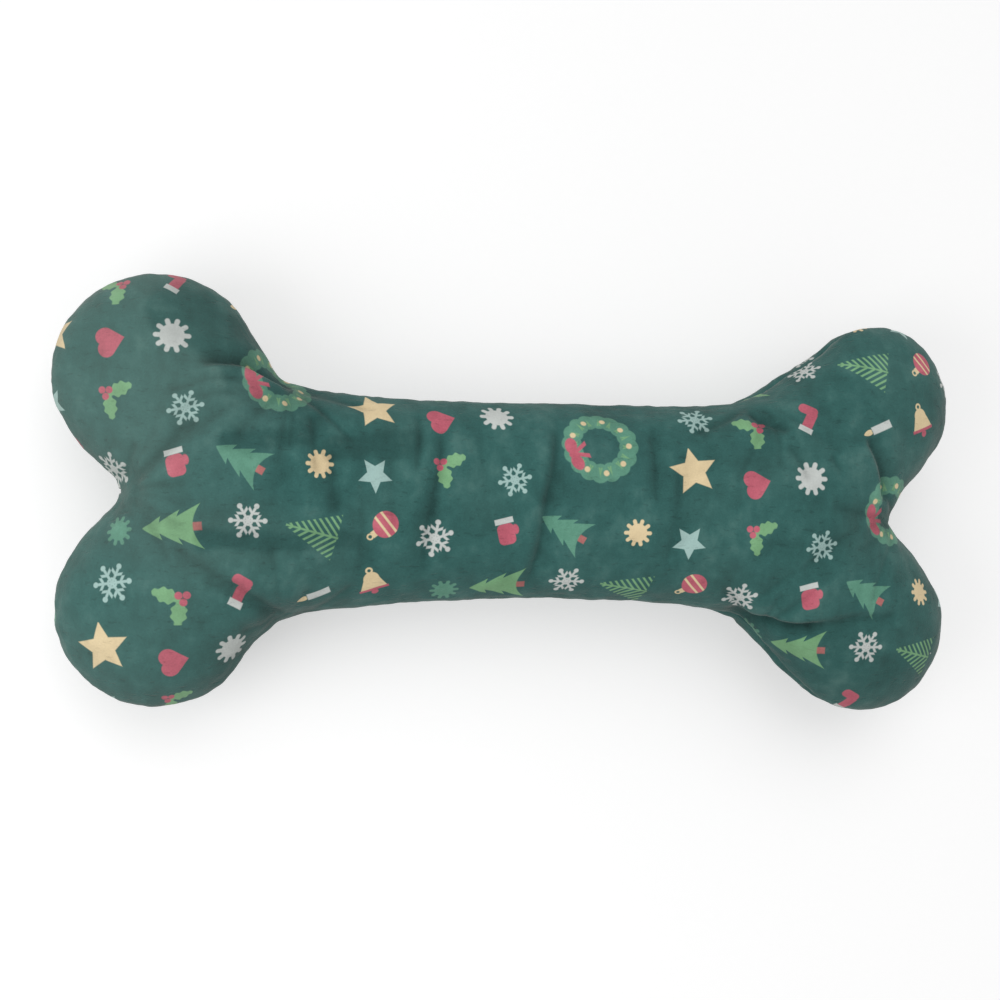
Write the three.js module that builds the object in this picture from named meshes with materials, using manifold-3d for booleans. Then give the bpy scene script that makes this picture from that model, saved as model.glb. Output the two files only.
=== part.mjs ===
// A bone-shaped plush dog toy: two printed plush panels sewn face to face round a bone outline,
// turned right side out, packed with fibre wads round a squeaker, and closed by hand.
// Millimetres. The toy lies on its back panel: +X runs along the shank towards the slimmer end,
// +Y across it, +Z up through the front panel. The origin is under the middle, on the floor.
import * as THREE from "three";
import { mergeVertices } from "three/addons/utils/BufferGeometryUtils.js";
import Module from "manifold-3d";

const wasm = await Module();
wasm.setup();

// Sewn outline, seen from the front
const overallLength = 305;
const shankWidth = 65;
const leftNotchDepth = 21.8;
const rightNotchDepth = 22.8;
const leftNotchRise = 0.5;
const rightNotchRise = -4.2;

// Knobs. Reach is the half width of each, rise how far its middle stands off the shank's line, and
// short how far its tip stops before the toy's end.
const upperLeftKnob = { reachX: 33, reachY: 32.3, rise: 37, short: 0 };
const upperRightKnob = { reachX: 27.2, reachY: 28.2, rise: 35, short: 0.3 };
const lowerRightKnob = { reachX: 30.5, reachY: 29.8, rise: 41, short: 0 };
const lowerLeftKnob = { reachX: 32.2, reachY: 32, rise: 36, short: 2.4 };

// Stuffed thickness at its fullest in each stretch, and how deep the floor presses the back flat
const knobThickness = 57;
const shankThickness = 48;
const restFlatDepth = 0.5;

// Valleys across the front of the shank, where the stuffed cloth buckles. Each runs through a few
// places from its upper end to its lower one: shares of the half length and half shank.
const shankFolds = [
  { depth: 1.5, width: 5, placeShares: [[-0.437, 0.85], [-0.448, 0.26], [-0.437, -0.4]] },
  { depth: 1.9, width: 4.2, placeShares: [[-0.302, 0.9], [-0.313, 0.47], [-0.298, -0.2], [-0.3, -0.89]] },
  { depth: 1.4, width: 4.5, placeShares: [[-0.206, 0.74], [-0.2, 0.36], [-0.224, 0.05], [-0.242, -0.57]] },
  { depth: 1.7, width: 4.6, placeShares: [[0.01, 0.62], [0.027, 0.07], [0.008, -0.43], [-0.01, -0.86]] },
  { depth: 1.5, width: 5, placeShares: [[0.266, 0.86], [0.263, 0.25], [0.254, -0.55]] },
];
// Beside a valley the cloth stands up a little; the seam holds it smooth up to this rise.
const shoulderShares = { height: 0.34, away: 1.9, width: 1.1 };
const foldFadeShare = 0.22;
const seamCalm = 7;

// Cloth and seam
const clothThickness = 1.8;
const seamAllowance = 7;
const allowanceThickness = 1.2;
const stitchInset = 3.9;
const threadDiameter = 0.7;
const turningGap = 60;
const closingStitches = 10;
const knotDiameter = 1.6;

// Squeaker
const bulbDiameter = 44;
const bulbHeight = 22;
const bulbWall = 1;
const bulbDrop = 5;
const neckBore = 12.6;
const neckLength = 6;
const sleeveFlangeDiameter = 16;
const sleeveFlangeThickness = 1;
const sleeveLength = 8;
const sleeveBore = 8.4;
const reedWidth = 4;
const reedThickness = 0.3;
const reedLength = 6;
const seatLength = 6.6;
const clampLength = 3;
const channelWidth = 2;
const channelDepth = 1.6;

// Gap between touching pieces, how far a cutting shape runs past what it cuts, how far a surface may
// move when its needless points are dropped, and how near the outline a point counts as on it
const clearance = 0.3;
const overrun = 20;
const smoothing = 0.03;
const heldWithin = 0.001;

const halfLength = overallLength / 2;
const halfShank = shankWidth / 2;
const seamHeight = knobThickness / 2 - restFlatDepth;
const lipTop = clearance / 2 + allowanceThickness;
const threadLevel = lipTop + clearance + threadDiameter / 2;

// Plan outline

// Where the outline bends from each knob into the shank: shares of the half length and half shank.
const upperLeftNeckShares = [[0.534, 1.19], [0.472, 1.08]];
const upperRightNeckShares = [[0.466, 1.065], [0.541, 1.182], [0.603, 1.372]];
const lowerRightNeckShares = [[0.593, 1.6], [0.544, 1.366], [0.485, 1.169]];
const lowerLeftNeckShares = [[0.466, 1.169], [0.525, 1.262]];
const shankShares = { along: 0.197, upperLeft: 0.99, upperRight: 1.015, lowerRight: 1.015, lowerLeft: 1.034 };

// A knob's middle: side is -1 at the left end, up is 1 above the shank's line.
function knobCentre(knob, side, up) {
  return new THREE.Vector2(side * (halfLength - knob.short - knob.reachX), up * knob.rise);
}

// Points round a knob, clockwise between two angles in degrees.
function knobArc(knob, side, up, from, to, steps) {
  const centre = knobCentre(knob, side, up);
  const points = [];
  for (let i = 0; i <= steps; i++) {
    const angle = THREE.MathUtils.degToRad(from + ((to - from) * i) / steps);
    points.push([centre.x + knob.reachX * Math.cos(angle), centre.y + knob.reachY * Math.sin(angle)]);
  }
  return points;
}

function neck(shares, side, up) {
  return shares.map(([along, across]) => [side * along * halfLength, up * across * halfShank]);
}

const leftNotch = [leftNotchDepth - halfLength, leftNotchRise];
const rightNotch = [halfLength - rightNotchDepth, rightNotchRise];
const knots = [
  leftNotch,
  ...knobArc(upperLeftKnob, -1, 1, 222, 20, 7),
  ...neck(upperLeftNeckShares, -1, 1),
  ...neck([[shankShares.along, shankShares.upperLeft]], -1, 1),
  ...neck([[shankShares.along, shankShares.upperRight]], 1, 1),
  ...neck(upperRightNeckShares, 1, 1),
  ...knobArc(upperRightKnob, 1, 1, 143, -54, 6),
  rightNotch,
  ...knobArc(lowerRightKnob, 1, -1, 47, -143, 6),
  ...neck(lowerRightNeckShares, 1, -1),
  ...neck([[shankShares.along, shankShares.lowerRight]], 1, -1),
  ...neck([[shankShares.along, shankShares.lowerLeft]], -1, -1),
  ...neck(lowerLeftNeckShares, -1, -1),
  ...knobArc(lowerLeftKnob, -1, -1, -22, -222, 7),
];
const rightNotchKnot = knots.indexOf(rightNotch);
const samplesPerKnot = 3;

// The sewn outline as points, clockwise from the left notch, with the middle of its box at zero.
function sewnOutline() {
  const curve = new THREE.CatmullRomCurve3(
    knots.map(([x, y]) => new THREE.Vector3(x, y, 0)),
    true,
    "centripetal",
  );
  const points = curve.getPoints(knots.length * samplesPerKnot).slice(0, -1);
  const box = new THREE.Box3().setFromPoints(points);
  const middle = box.getCenter(new THREE.Vector3());
  return points.map((p) => new THREE.Vector2(p.x - middle.x, p.y - middle.y));
}

// The outline moved inwards by a distance, point for point.
function insetOutline(outline, inset) {
  return outline.map((point, i) => {
    const before = outline[(i + outline.length - 1) % outline.length];
    const after = outline[(i + 1) % outline.length];
    const along = new THREE.Vector2().subVectors(after, before).normalize();
    return new THREE.Vector2(point.x + along.y * inset, point.y - along.x * inset);
  });
}

function distanceTo(outline, x, y) {
  let least = Infinity;
  for (let i = 0; i < outline.length; i++) {
    const a = outline[i];
    const b = outline[(i + 1) % outline.length];
    const spanX = b.x - a.x;
    const spanY = b.y - a.y;
    const share = ((x - a.x) * spanX + (y - a.y) * spanY) / (spanX * spanX + spanY * spanY);
    const t = THREE.MathUtils.clamp(share, 0, 1);
    least = Math.min(least, Math.hypot(x - a.x - t * spanX, y - a.y - t * spanY));
  }
  return least;
}

// Stuffed form

// A stretch of the outline that runs one way along X, as a function that gives y at x.
function edgeOf(outline, from, to) {
  const count = outline.length;
  const length = (to - from + count) % count || count;
  const stretch = Array.from({ length: length + 1 }, (_, i) => outline[(from + i) % count]);
  if (stretch[0].x > stretch[length].x) stretch.reverse();
  return (x) => {
    let i = 1;
    while (i < length && stretch[i].x < x) i++;
    const a = stretch[i - 1];
    const b = stretch[i];
    const share = b.x === a.x ? 0 : THREE.MathUtils.clamp((x - a.x) / (b.x - a.x), 0, 1);
    return THREE.MathUtils.lerp(a.y, b.y, share);
  };
}

// The point of a stretch of the outline that lies farthest to one side along X.
function farthest(outline, from, to, side) {
  const count = outline.length;
  let best = from % count;
  for (let i = from; i <= to; i++) {
    if (outline[i % count].x * side > outline[best].x * side) best = i % count;
  }
  return best;
}

// Where each knob reaches farthest, and the bottom of the notch at each end.
function landmarksOf(outline) {
  const half = rightNotchKnot * samplesPerKnot;
  const whole = outline.length;
  const upperMiddle = Math.round(half / 2);
  const lowerMiddle = Math.round((half + whole) / 2);
  const upperLeft = farthest(outline, 0, upperMiddle, -1);
  const upperRight = farthest(outline, upperMiddle, half, 1);
  const lowerRight = farthest(outline, half, lowerMiddle, 1);
  const lowerLeft = farthest(outline, lowerMiddle, whole - 1, -1);
  const rightNotch = farthest(outline, upperRight, lowerRight, -1);
  const leftNotch = farthest(outline, lowerLeft, whole + upperLeft, 1);
  return { upperLeft, upperRight, lowerRight, lowerLeft, rightNotch, leftNotch };
}

// How finely a form is divided: columns between the notches and over each knob's tip, and rows from
// the middle to the seam. Within the pull of a notch, rows crowd towards it too. A folded form has
// columns by each valley besides, and drops the others within their room.
const shankColumns = 30;
const tipColumns = 5;
const halfRows = 6;
const columnCrowding = 0.75;
const notchPull = 45;
const foldColumnShares = [-1.9, -0.95, 0, 0.95, 1.9];
const columnRoom = 2.5;

// Rows crowd towards the seam. By a notch, where the seam is near on both sides, they crowd both ways.
function rowReach(row, awayFromNotch) {
  const turn = (row / halfRows) * (Math.PI / 2);
  const bothWays = (1 - Math.cos(2 * turn)) / 2;
  const share = THREE.MathUtils.smoothstep(awayFromNotch, 0, notchPull);
  return THREE.MathUtils.lerp(bothWays, Math.sin(turn), share);
}

// The valley's line across the shank: how far along the toy it lies at y.
function foldLine(fold) {
  const places = fold.placeShares.map(([along, across]) => new THREE.Vector2(along * halfLength, across * halfShank));
  return (y) => {
    const next = places.findIndex((place) => place.y <= y);
    if (next === 0) return places[0].x;
    if (next < 0) return places[places.length - 1].x;
    const [above, below] = [places[next - 1], places[next]];
    return THREE.MathUtils.mapLinear(y, above.y, below.y, above.x, below.x);
  };
}

const foldLines = shankFolds.map(foldLine);

// How far the valleys press the front in at a point of the plan.
function foldPress(point, rise) {
  let press = 0;
  shankFolds.forEach((fold, i) => {
    const ends = fold.placeShares.map(([, across]) => across * halfShank);
    const share = THREE.MathUtils.inverseLerp(ends[0], ends[ends.length - 1], point.y);
    const fade = THREE.MathUtils.smoothstep(Math.min(share, 1 - share), 0, foldFadeShare);
    const away = Math.abs(point.x - foldLines[i](point.y)) / fold.width;
    const valley = Math.exp(-(away * away));
    const off = (away - shoulderShares.away) / shoulderShares.width;
    press += fold.depth * fade * (valley - shoulderShares.height * Math.exp(-(off * off)));
  });
  return press * THREE.MathUtils.smoothstep(rise, 0, seamCalm);
}

// Places along the toy where a form has a column of points, crowding towards the notches.
function columnPlaces(from, to, folded) {
  const places = [];
  for (let j = 0; j <= shankColumns; j++) {
    const u = j / shankColumns;
    const crowded = u - (columnCrowding * Math.sin(2 * Math.PI * u)) / (2 * Math.PI);
    places.push(THREE.MathUtils.lerp(from, to, crowded));
  }
  if (!folded) return places;
  const own = shankFolds.flatMap((fold, i) => foldColumnShares.map((share) => foldLines[i](0) + share * fold.width));
  const clear = places.filter((x) => own.every((place) => Math.abs(place - x) > columnRoom));
  return [...clear, ...own].sort((a, b) => a - b);
}

// Rows of plan points that cover the outline: one block between the notches, one for each knob's tip.
function planBlocks(outline, folded) {
  const tips = landmarksOf(outline);
  const top = edgeOf(outline, tips.upperLeft, tips.upperRight);
  const bottom = edgeOf(outline, tips.lowerRight, tips.lowerLeft);
  const left = outline[tips.leftNotch];
  const right = outline[tips.rightNotch];
  const blocks = [];

  const shank = [];
  for (const x of columnPlaces(left.x, right.x, folded)) {
    const centre = THREE.MathUtils.mapLinear(x, left.x, right.x, left.y, right.y);
    const column = [];
    for (let k = -halfRows; k <= halfRows; k++) {
      const edge = k < 0 ? bottom(x) : top(x);
      const reach = rowReach(Math.abs(k), Math.min(x - left.x, right.x - x));
      column.push([x, THREE.MathUtils.lerp(centre, edge, reach)]);
    }
    shank.push(column);
  }
  blocks.push(shank);

  const addTip = (notch, tip, inner, outer) => {
    const block = [];
    for (let j = 0; j <= tipColumns; j++) {
      const turn = (j / tipColumns) * (Math.PI / 2);
      const x = THREE.MathUtils.lerp(notch.x, outline[tip].x, Math.sin(turn));
      const column = [];
      for (let k = 0; k <= halfRows; k++) {
        column.push([x, THREE.MathUtils.lerp(inner(x), outer(x), rowReach(k, 0))]);
      }
      if (j === tipColumns) column.forEach((point) => (point[1] = outline[tip].y));
      block.push(column);
    }
    blocks.push(block);
  };
  addTip(left, tips.upperLeft, edgeOf(outline, tips.leftNotch, tips.upperLeft), top);
  addTip(right, tips.upperRight, edgeOf(outline, tips.upperRight, tips.rightNotch), top);
  addTip(right, tips.lowerRight, edgeOf(outline, tips.rightNotch, tips.lowerRight), bottom);
  addTip(left, tips.lowerLeft, edgeOf(outline, tips.lowerLeft, tips.leftNotch), bottom);
  return blocks;
}

// The area in an outline divided into triangles: its points, and three point numbers for each.
function planMesh(outline, folded) {
  const points = [];
  const corners = [];
  const numbers = new Map();
  const numberOf = (point) => {
    const key = point.map((value) => value.toFixed(4)).join();
    if (!numbers.has(key)) numbers.set(key, points.push(new THREE.Vector2(...point)) - 1);
    return numbers.get(key);
  };
  const add = (a, b, c) => {
    if (a === b || b === c || a === c) return;
    const ab = new THREE.Vector2().subVectors(points[b], points[a]);
    const ac = new THREE.Vector2().subVectors(points[c], points[a]);
    corners.push(ab.cross(ac) > 0 ? [a, b, c] : [a, c, b]);
  };
  for (const block of planBlocks(outline, folded)) {
    const numbered = block.map((column) => column.map(numberOf));
    for (let j = 1; j < numbered.length; j++) {
      for (let k = 1; k < numbered[j].length; k++) {
        const [a, b] = [numbered[j - 1][k - 1], numbered[j][k - 1]];
        const [c, d] = [numbered[j][k], numbered[j - 1][k]];
        add(a, b, c);
        add(a, c, d);
      }
    }
  }
  return { points, corners };
}

const sweeps = 1500;
const overshoot = 1.7;

// The cloth swells like a sheet that is held at the outline and pushed up evenly by the fibre: the
// wider the place, the higher it stands. Each point settles between its neighbours, sweep by sweep.
function sheetRise({ points, corners }, outline) {
  const neighbours = points.map(() => new Map());
  const load = points.map(() => 0);
  const link = (a, b, pull) => {
    neighbours[a].set(b, (neighbours[a].get(b) ?? 0) + pull);
    neighbours[b].set(a, (neighbours[b].get(a) ?? 0) + pull);
  };
  for (const corner of corners) {
    for (let i = 0; i < 3; i++) {
      const [at, b, c] = [corner[i], corner[(i + 1) % 3], corner[(i + 2) % 3]];
      const ab = new THREE.Vector2().subVectors(points[b], points[at]);
      const ac = new THREE.Vector2().subVectors(points[c], points[at]);
      link(b, c, ab.dot(ac) / ab.cross(ac) / 2);
      load[at] += ab.cross(ac) / 6;
    }
  }
  const free = points.map((p) => distanceTo(outline, p.x, p.y) > heldWithin);
  const pushed = points.map(() => 0);
  for (let sweep = 0; sweep < sweeps; sweep++) {
    for (let i = 0; i < points.length; i++) {
      if (!free[i]) continue;
      let sum = load[i];
      let pulls = 0;
      for (const [other, pull] of neighbours[i]) {
        sum += pull * pushed[other];
        pulls += pull;
      }
      pushed[i] += overshoot * (sum / pulls - pushed[i]);
    }
  }
  return pushed.map((value) => Math.sqrt(2 * Math.max(value, 0)));
}

// Between these shares of the half length the shank's thickness gives way to the knobs'. Fibre is
// packed hard into the knobs, so narrow places stand higher than a bare sheet's would.
const swellShares = [0.3, 0.6];
const packing = 0.78;

// The stuffed shape set in from the sewn outline all over: its plan, and each point's half thickness.
function stuffedShape(inset, folded) {
  const outline = insetOutline(sewn, inset);
  const plan = planMesh(outline, folded);
  const sheet = sheetRise(plan, outline);
  const shareOf = (i) => plan.points[i].x / halfLength;
  const fullest = (within) => Math.max(...sheet.filter((_, i) => within(shareOf(i))));
  const shankFull = fullest((share) => Math.abs(share) < swellShares[0]);
  const leftFull = fullest((share) => share < -swellShares[0]);
  const rightFull = fullest((share) => share > swellShares[0]);
  const rises = sheet.map((rise, i) => {
    const knobFull = shareOf(i) < 0 ? leftFull : rightFull;
    const asShank = (shankThickness / 2 - inset) * Math.pow(rise / shankFull, packing);
    const asKnob = (knobThickness / 2 - inset) * Math.pow(rise / knobFull, packing);
    const toKnob = THREE.MathUtils.smoothstep(Math.abs(shareOf(i)), ...swellShares);
    return THREE.MathUtils.lerp(asShank, asKnob, toKnob);
  });
  return { ...plan, rises };
}

// The stuffed shape as one closed solid, with or without the valleys of the front.
function stuffedForm(inset, folded) {
  const { points, corners, rises } = stuffedShape(inset, folded);
  const fronts = rises.map((rise, i) => (folded ? rise - foldPress(points[i], rise) : rise));
  const positions = [];
  for (const [a, b, c] of corners) {
    for (const i of [a, b, c]) positions.push(points[i].x, points[i].y, seamHeight + fronts[i]);
    for (const i of [a, c, b]) positions.push(points[i].x, points[i].y, seamHeight - rises[i]);
  }
  const geometry = new THREE.BufferGeometry();
  geometry.setAttribute("position", new THREE.Float32BufferAttribute(positions, 3));
  return solidOf(geometry);
}

// Solids and meshes

function solidOf(geometry, matrix = new THREE.Matrix4()) {
  const bare = geometry.clone().applyMatrix4(matrix);
  bare.deleteAttribute("normal");
  bare.deleteAttribute("uv");
  const merged = mergeVertices(bare);
  const corners = merged.index.array;
  const kept = [];
  for (let i = 0; i < corners.length; i += 3) {
    const [a, b, c] = corners.slice(i, i + 3);
    if (a !== b && b !== c && a !== c) kept.push(a, b, c);
  }
  return new wasm.Manifold(
    new wasm.Mesh({
      numProp: 3,
      vertProperties: merged.attributes.position.array,
      triVerts: new Uint32Array(kept),
    }),
  );
}

function geometryOf(solid) {
  const mesh = solid.getMesh();
  const points = new Float32Array(mesh.numVert * 3);
  for (let i = 0; i < mesh.numVert; i++) {
    for (let axis = 0; axis < 3; axis++) points[i * 3 + axis] = mesh.vertProperties[i * mesh.numProp + axis];
  }
  const geometry = new THREE.BufferGeometry();
  geometry.setAttribute("position", new THREE.BufferAttribute(points, 3));
  geometry.setIndex(new THREE.BufferAttribute(new Uint32Array(mesh.triVerts), 1));
  return geometry;
}

// An upright prism over a plan outline, between two heights over the seam plane.
function prism(points, low, high, hole) {
  const rings = hole ? [points, hole] : [points];
  const plan = new wasm.CrossSection(rings.map((ring) => ring.map((p) => [p.x, p.y])), "EvenOdd");
  return plan.extrude(high - low).translate([0, 0, seamHeight + low]);
}

// A solid turned round the upright axis, from its radius and height points.
function turned(profile, sides) {
  return wasm.Manifold.revolve(new wasm.CrossSection([profile], "EvenOdd"), sides);
}

function halfSpace(side, from) {
  const reach = overallLength + overrun;
  const block = new THREE.BoxGeometry(2 * reach, 2 * reach, reach);
  const middle = seamHeight + side * (from + reach / 2);
  return solidOf(block, new THREE.Matrix4().makeTranslation(0, 0, middle));
}

// A round thread along points, with closed ends.
function threadSolid(points, sides) {
  const positions = [];
  const rings = points.map((point, i) => {
    const before = points[Math.max(i - 1, 0)];
    const after = points[Math.min(i + 1, points.length - 1)];
    const along = new THREE.Vector3().subVectors(after, before).normalize();
    const across = new THREE.Vector3(-along.y, along.x, 0);
    if (across.lengthSq() < 0.5) across.set(0, 1, 0);
    across.normalize();
    const up = new THREE.Vector3().crossVectors(along, across);
    return Array.from({ length: sides }, (_, k) => {
      const angle = (k / sides) * 2 * Math.PI;
      return point
        .clone()
        .addScaledVector(across, (Math.cos(angle) * threadDiameter) / 2)
        .addScaledVector(up, (Math.sin(angle) * threadDiameter) / 2);
    });
  });
  const add = (...corners) => corners.forEach((corner) => positions.push(...corner.toArray()));
  for (let i = 1; i < rings.length; i++) {
    for (let k = 0; k < sides; k++) {
      const next = (k + 1) % sides;
      add(rings[i - 1][k], rings[i - 1][next], rings[i][next]);
      add(rings[i - 1][k], rings[i][next], rings[i][k]);
    }
  }
  const last = rings.length - 1;
  for (let k = 1; k < sides - 1; k++) {
    add(rings[0][0], rings[0][k + 1], rings[0][k]);
    add(rings[last][0], rings[last][k], rings[last][k + 1]);
  }
  const geometry = new THREE.BufferGeometry();
  geometry.setAttribute("position", new THREE.Float32BufferAttribute(positions, 3));
  return solidOf(geometry);
}

const sewn = sewnOutline();
const outerForms = { front: stuffedForm(0, true), back: stuffedForm(0, false) };
const innerForms = { front: stuffedForm(clothThickness, true), back: stuffedForm(clothThickness, false) };
const gapEdge = (() => {
  const line = insetOutline(sewn, stitchInset);
  const { lowerRight, lowerLeft } = landmarksOf(line);
  return edgeOf(line, lowerRight, lowerLeft);
})();

// Cover panels

// The closing stitch runs along one allowance, crosses to the other, and so on over the turning gap.
const closingPitch = turningGap / closingStitches;

function closingPath() {
  const bend = closingPitch / 8;
  const points = [];
  for (let i = 0; i <= closingStitches; i++) {
    const x = -turningGap / 2 + i * closingPitch;
    const y = gapEdge(x);
    const side = i % 2 ? -1 : 1;
    const level = side * threadLevel;
    points.push([x - bend, y, level], [x, y, level - side * bend], [x, y, side * bend - level], [x + bend, y, -level]);
  }
  return points.map(([x, y, z]) => new THREE.Vector3(x, y, seamHeight + z));
}

function needleHoles() {
  const radius = threadDiameter / 2 + clearance;
  const hole = new THREE.CylinderGeometry(radius, radius, 2 * (lipTop + clearance), 8).rotateX(Math.PI / 2);
  const holes = [];
  for (let i = 0; i <= closingStitches; i++) {
    const x = -turningGap / 2 + i * closingPitch;
    holes.push(solidOf(hole, new THREE.Matrix4().makeTranslation(x, gapEdge(x), seamHeight)));
  }
  return wasm.Manifold.union(holes);
}

function everyOther(points) {
  return points.filter((_, i) => i % 2 === 0);
}

// One panel: the cloth on its side of the seam, and its allowance turned in along the seam plane.
function panelSolid(side) {
  const face = side > 0 ? "front" : "back";
  const wall = outerForms[face].subtract(innerForms[face]).intersect(halfSpace(side, clearance / 2));
  const outer = everyOther(insetOutline(sewn, clothThickness / 2));
  const inner = everyOther(insetOutline(sewn, seamAllowance));
  const low = side > 0 ? clearance / 2 : -lipTop;
  const lip = prism(outer, low, low + allowanceThickness, inner).intersect(outerForms[face]);
  const panel = wall.add(lip).subtract(needleHoles());
  return side > 0 ? panel : panel.subtract(halfSpace(-1, seamHeight));
}

// Machine seam: the needle thread lies on one allowance and the bobbin thread on the other, from one
// end of the turning gap round the toy to the other. They lock inside the cloth, which isn't modelled.
function seamThread(side) {
  const line = insetOutline(sewn, stitchInset);
  const marks = landmarksOf(line);
  const notches = [line[marks.leftNotch], line[marks.rightNotch]];
  const needed = (p, i) => i % samplesPerKnot === 0 || notches.some((n) => n.distanceTo(p) < notchPull / 2);
  const end = turningGap / 2 + closingPitch;
  const points = line
    .filter(needed)
    .filter((p) => p.y > 0 || Math.abs(p.x) > end)
    .map((p) => new THREE.Vector3(p.x, p.y, seamHeight + side * threadLevel));
  const first = points.findIndex((p, i) => i > 0 && p.y < 0 && points[i - 1].x >= end && p.x <= -end);
  return threadSolid([...points.slice(first), ...points.slice(0, first)], 5);
}

function closingThread() {
  const path = closingPath();
  const knot = new THREE.SphereGeometry(knotDiameter / 2, 8, 6);
  const off = (knotDiameter - threadDiameter) / 2;
  const place = (p) => new THREE.Matrix4().makeTranslation(p.x, p.y, p.z + off * Math.sign(p.z - seamHeight));
  const thread = threadSolid(path, 6);
  return thread.add(solidOf(knot, place(path[0]))).add(solidOf(knot, place(path[path.length - 1])));
}

// Squeaker

// The bulb's middle lies under the seam plane, so that its neck has fibre over it.
const bulbLevel = seamHeight - bulbDrop;
const mouthLevel = Math.sqrt(1 - Math.pow((neckBore + 2 * bulbWall) / bulbDiameter, 2)) * (bulbHeight / 2);
const neckTop = mouthLevel + neckLength;
const bulbSides = 28;
const bulbSteps = 8;

// Radius and height points up the outside of the bulb, grown or shrunk by a distance.
function bulbProfile(grow, neckRadius) {
  const radius = bulbDiameter / 2 + grow;
  const rise = bulbHeight / 2 + grow;
  const end = Math.acos(neckRadius / radius);
  const points = [];
  for (let i = 0; i <= bulbSteps; i++) {
    const angle = THREE.MathUtils.lerp(-Math.PI / 2, end, i / bulbSteps);
    points.push([radius * Math.cos(angle), rise * Math.sin(angle)]);
  }
  return points;
}

function squeakerBulb() {
  const outside = bulbProfile(0, neckBore / 2 + bulbWall);
  const inside = bulbProfile(-bulbWall, neckBore / 2);
  const lip = [[neckBore / 2 + bulbWall, neckTop], [neckBore / 2, neckTop]];
  return turned([...outside, ...lip, ...inside.reverse()], bulbSides).translate([0, 0, bulbLevel]);
}

// The room left in the fibre for the bulb, its neck and the flange on it.
function squeakerPocket() {
  const neckRadius = sleeveFlangeDiameter / 2 + clearance;
  const top = neckTop + 2 * clearance + sleeveFlangeThickness;
  const profile = [...bulbProfile(clearance, neckRadius), [neckRadius, top], [0, top]];
  return turned(profile, bulbSides).translate([0, 0, bulbLevel]);
}

// The sleeve hangs in the neck by its flange; the reed's seat and clamp fill its bore from both sides.
const flangeBase = bulbLevel + neckTop + clearance;
const sleeveBase = flangeBase - sleeveLength;
const plugRadius = sleeveBore / 2 - clearance;
const plugTop = flangeBase + sleeveFlangeThickness;
const plugFace = reedThickness / 2 + clearance;

function squeakerSleeve() {
  const barrel = neckBore / 2 - clearance;
  const flange = sleeveFlangeDiameter / 2;
  const bore = sleeveBore / 2;
  const profile = [[bore, sleeveBase], [barrel, sleeveBase], [barrel, flangeBase], [flange, flangeBase],
    [flange, plugTop], [bore, plugTop]];
  return turned(profile, 32);
}

// A plug that fills one side of the bore, as far as the reed.
function halfPlug(side, length) {
  const plug = turned([[0, plugTop - length], [plugRadius, plugTop - length], [plugRadius, plugTop], [0, plugTop]], 24);
  const block = box([-side * (sleeveBore - plugFace), 0, plugTop], [2 * sleeveBore, 2 * sleeveBore, 2 * overrun]);
  return plug.subtract(block);
}

function box(centre, size) {
  return solidOf(new THREE.BoxGeometry(...size), new THREE.Matrix4().makeTranslation(...centre));
}

// Air leaves by the channel under the reed. It stops short of the plug's inner end.
function reedSeat() {
  const length = seatLength - channelDepth / 2;
  const channel = box([plugFace, 0, plugTop - length / 2 + overrun / 2], [2 * channelDepth, channelWidth, length + overrun]);
  return halfPlug(1, seatLength).subtract(channel);
}

function reed() {
  return box([0, 0, plugTop - reedLength / 2], [reedThickness, reedWidth, reedLength]);
}

// Filling

// The plan area of one knob, cut off along the line from the end's notch to the knob's neck, or a
// little nearer the shank than that line.
function knobArea(notch, neckPoint, side, up, back) {
  const reach = halfLength + overrun;
  const cut = new THREE.Vector2().subVectors(neckPoint, notch).normalize();
  const shift = new THREE.Vector2(-side * up * cut.y, side * up * cut.x).multiplyScalar(back);
  const near = notch.clone().add(shift);
  const far = neckPoint.clone().add(shift).addScaledVector(cut, overrun);
  const corners = [[far.x, up * reach], [side * reach, up * reach], [side * reach, near.y]];
  return [near, far, ...corners.map(([x, y]) => new THREE.Vector2(x, y))];
}

// Room for the allowances and the stitches on them, cut into the fibre all round.
function seamRoom() {
  const high = lipTop + clearance + knotDiameter + clearance;
  return prism(sewn, -high, high, insetOutline(sewn, seamAllowance + 3 * clearance));
}

function fillingWads() {
  const marks = landmarksOf(sewn);
  const [leftEnd, rightEnd] = [sewn[marks.leftNotch], sewn[marks.rightNotch]];
  const neckAt = (shares, side, up) => new THREE.Vector2(...neck([shares], side, up)[0]);
  const knobs = {
    fill_upper_left_knob: [leftEnd, neckAt(upperLeftNeckShares[0], -1, 1), -1, 1],
    fill_upper_right_knob: [rightEnd, neckAt(upperRightNeckShares[1], 1, 1), 1, 1],
    fill_lower_right_knob: [rightEnd, neckAt(lowerRightNeckShares[1], 1, -1), 1, -1],
    fill_lower_left_knob: [leftEnd, neckAt(lowerLeftNeckShares[1], -1, -1), -1, -1],
  };
  const floor = halfSpace(-1, seamHeight - clothThickness - clearance + restFlatDepth);
  const room = seamRoom().add(floor);
  const [frontFibre, backFibre] = [true, false].map((folded) => stuffedForm(clothThickness + clearance, folded).subtract(room));
  const deep = knobThickness / 2 + overrun;
  const wads = {};
  let elsewhere = squeakerPocket();
  for (const [name, place] of Object.entries(knobs)) {
    wads[name] = backFibre.intersect(prism(knobArea(...place, 0), -deep, deep));
    elsewhere = elsewhere.add(prism(knobArea(...place, clearance), -deep, deep));
  }
  wads.fill_shank_front = frontFibre.subtract(elsewhere).intersect(halfSpace(1, clearance / 2));
  wads.fill_shank_back = backFibre.subtract(elsewhere).intersect(halfSpace(-1, clearance / 2));
  return wads;
}

// Assembly

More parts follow.
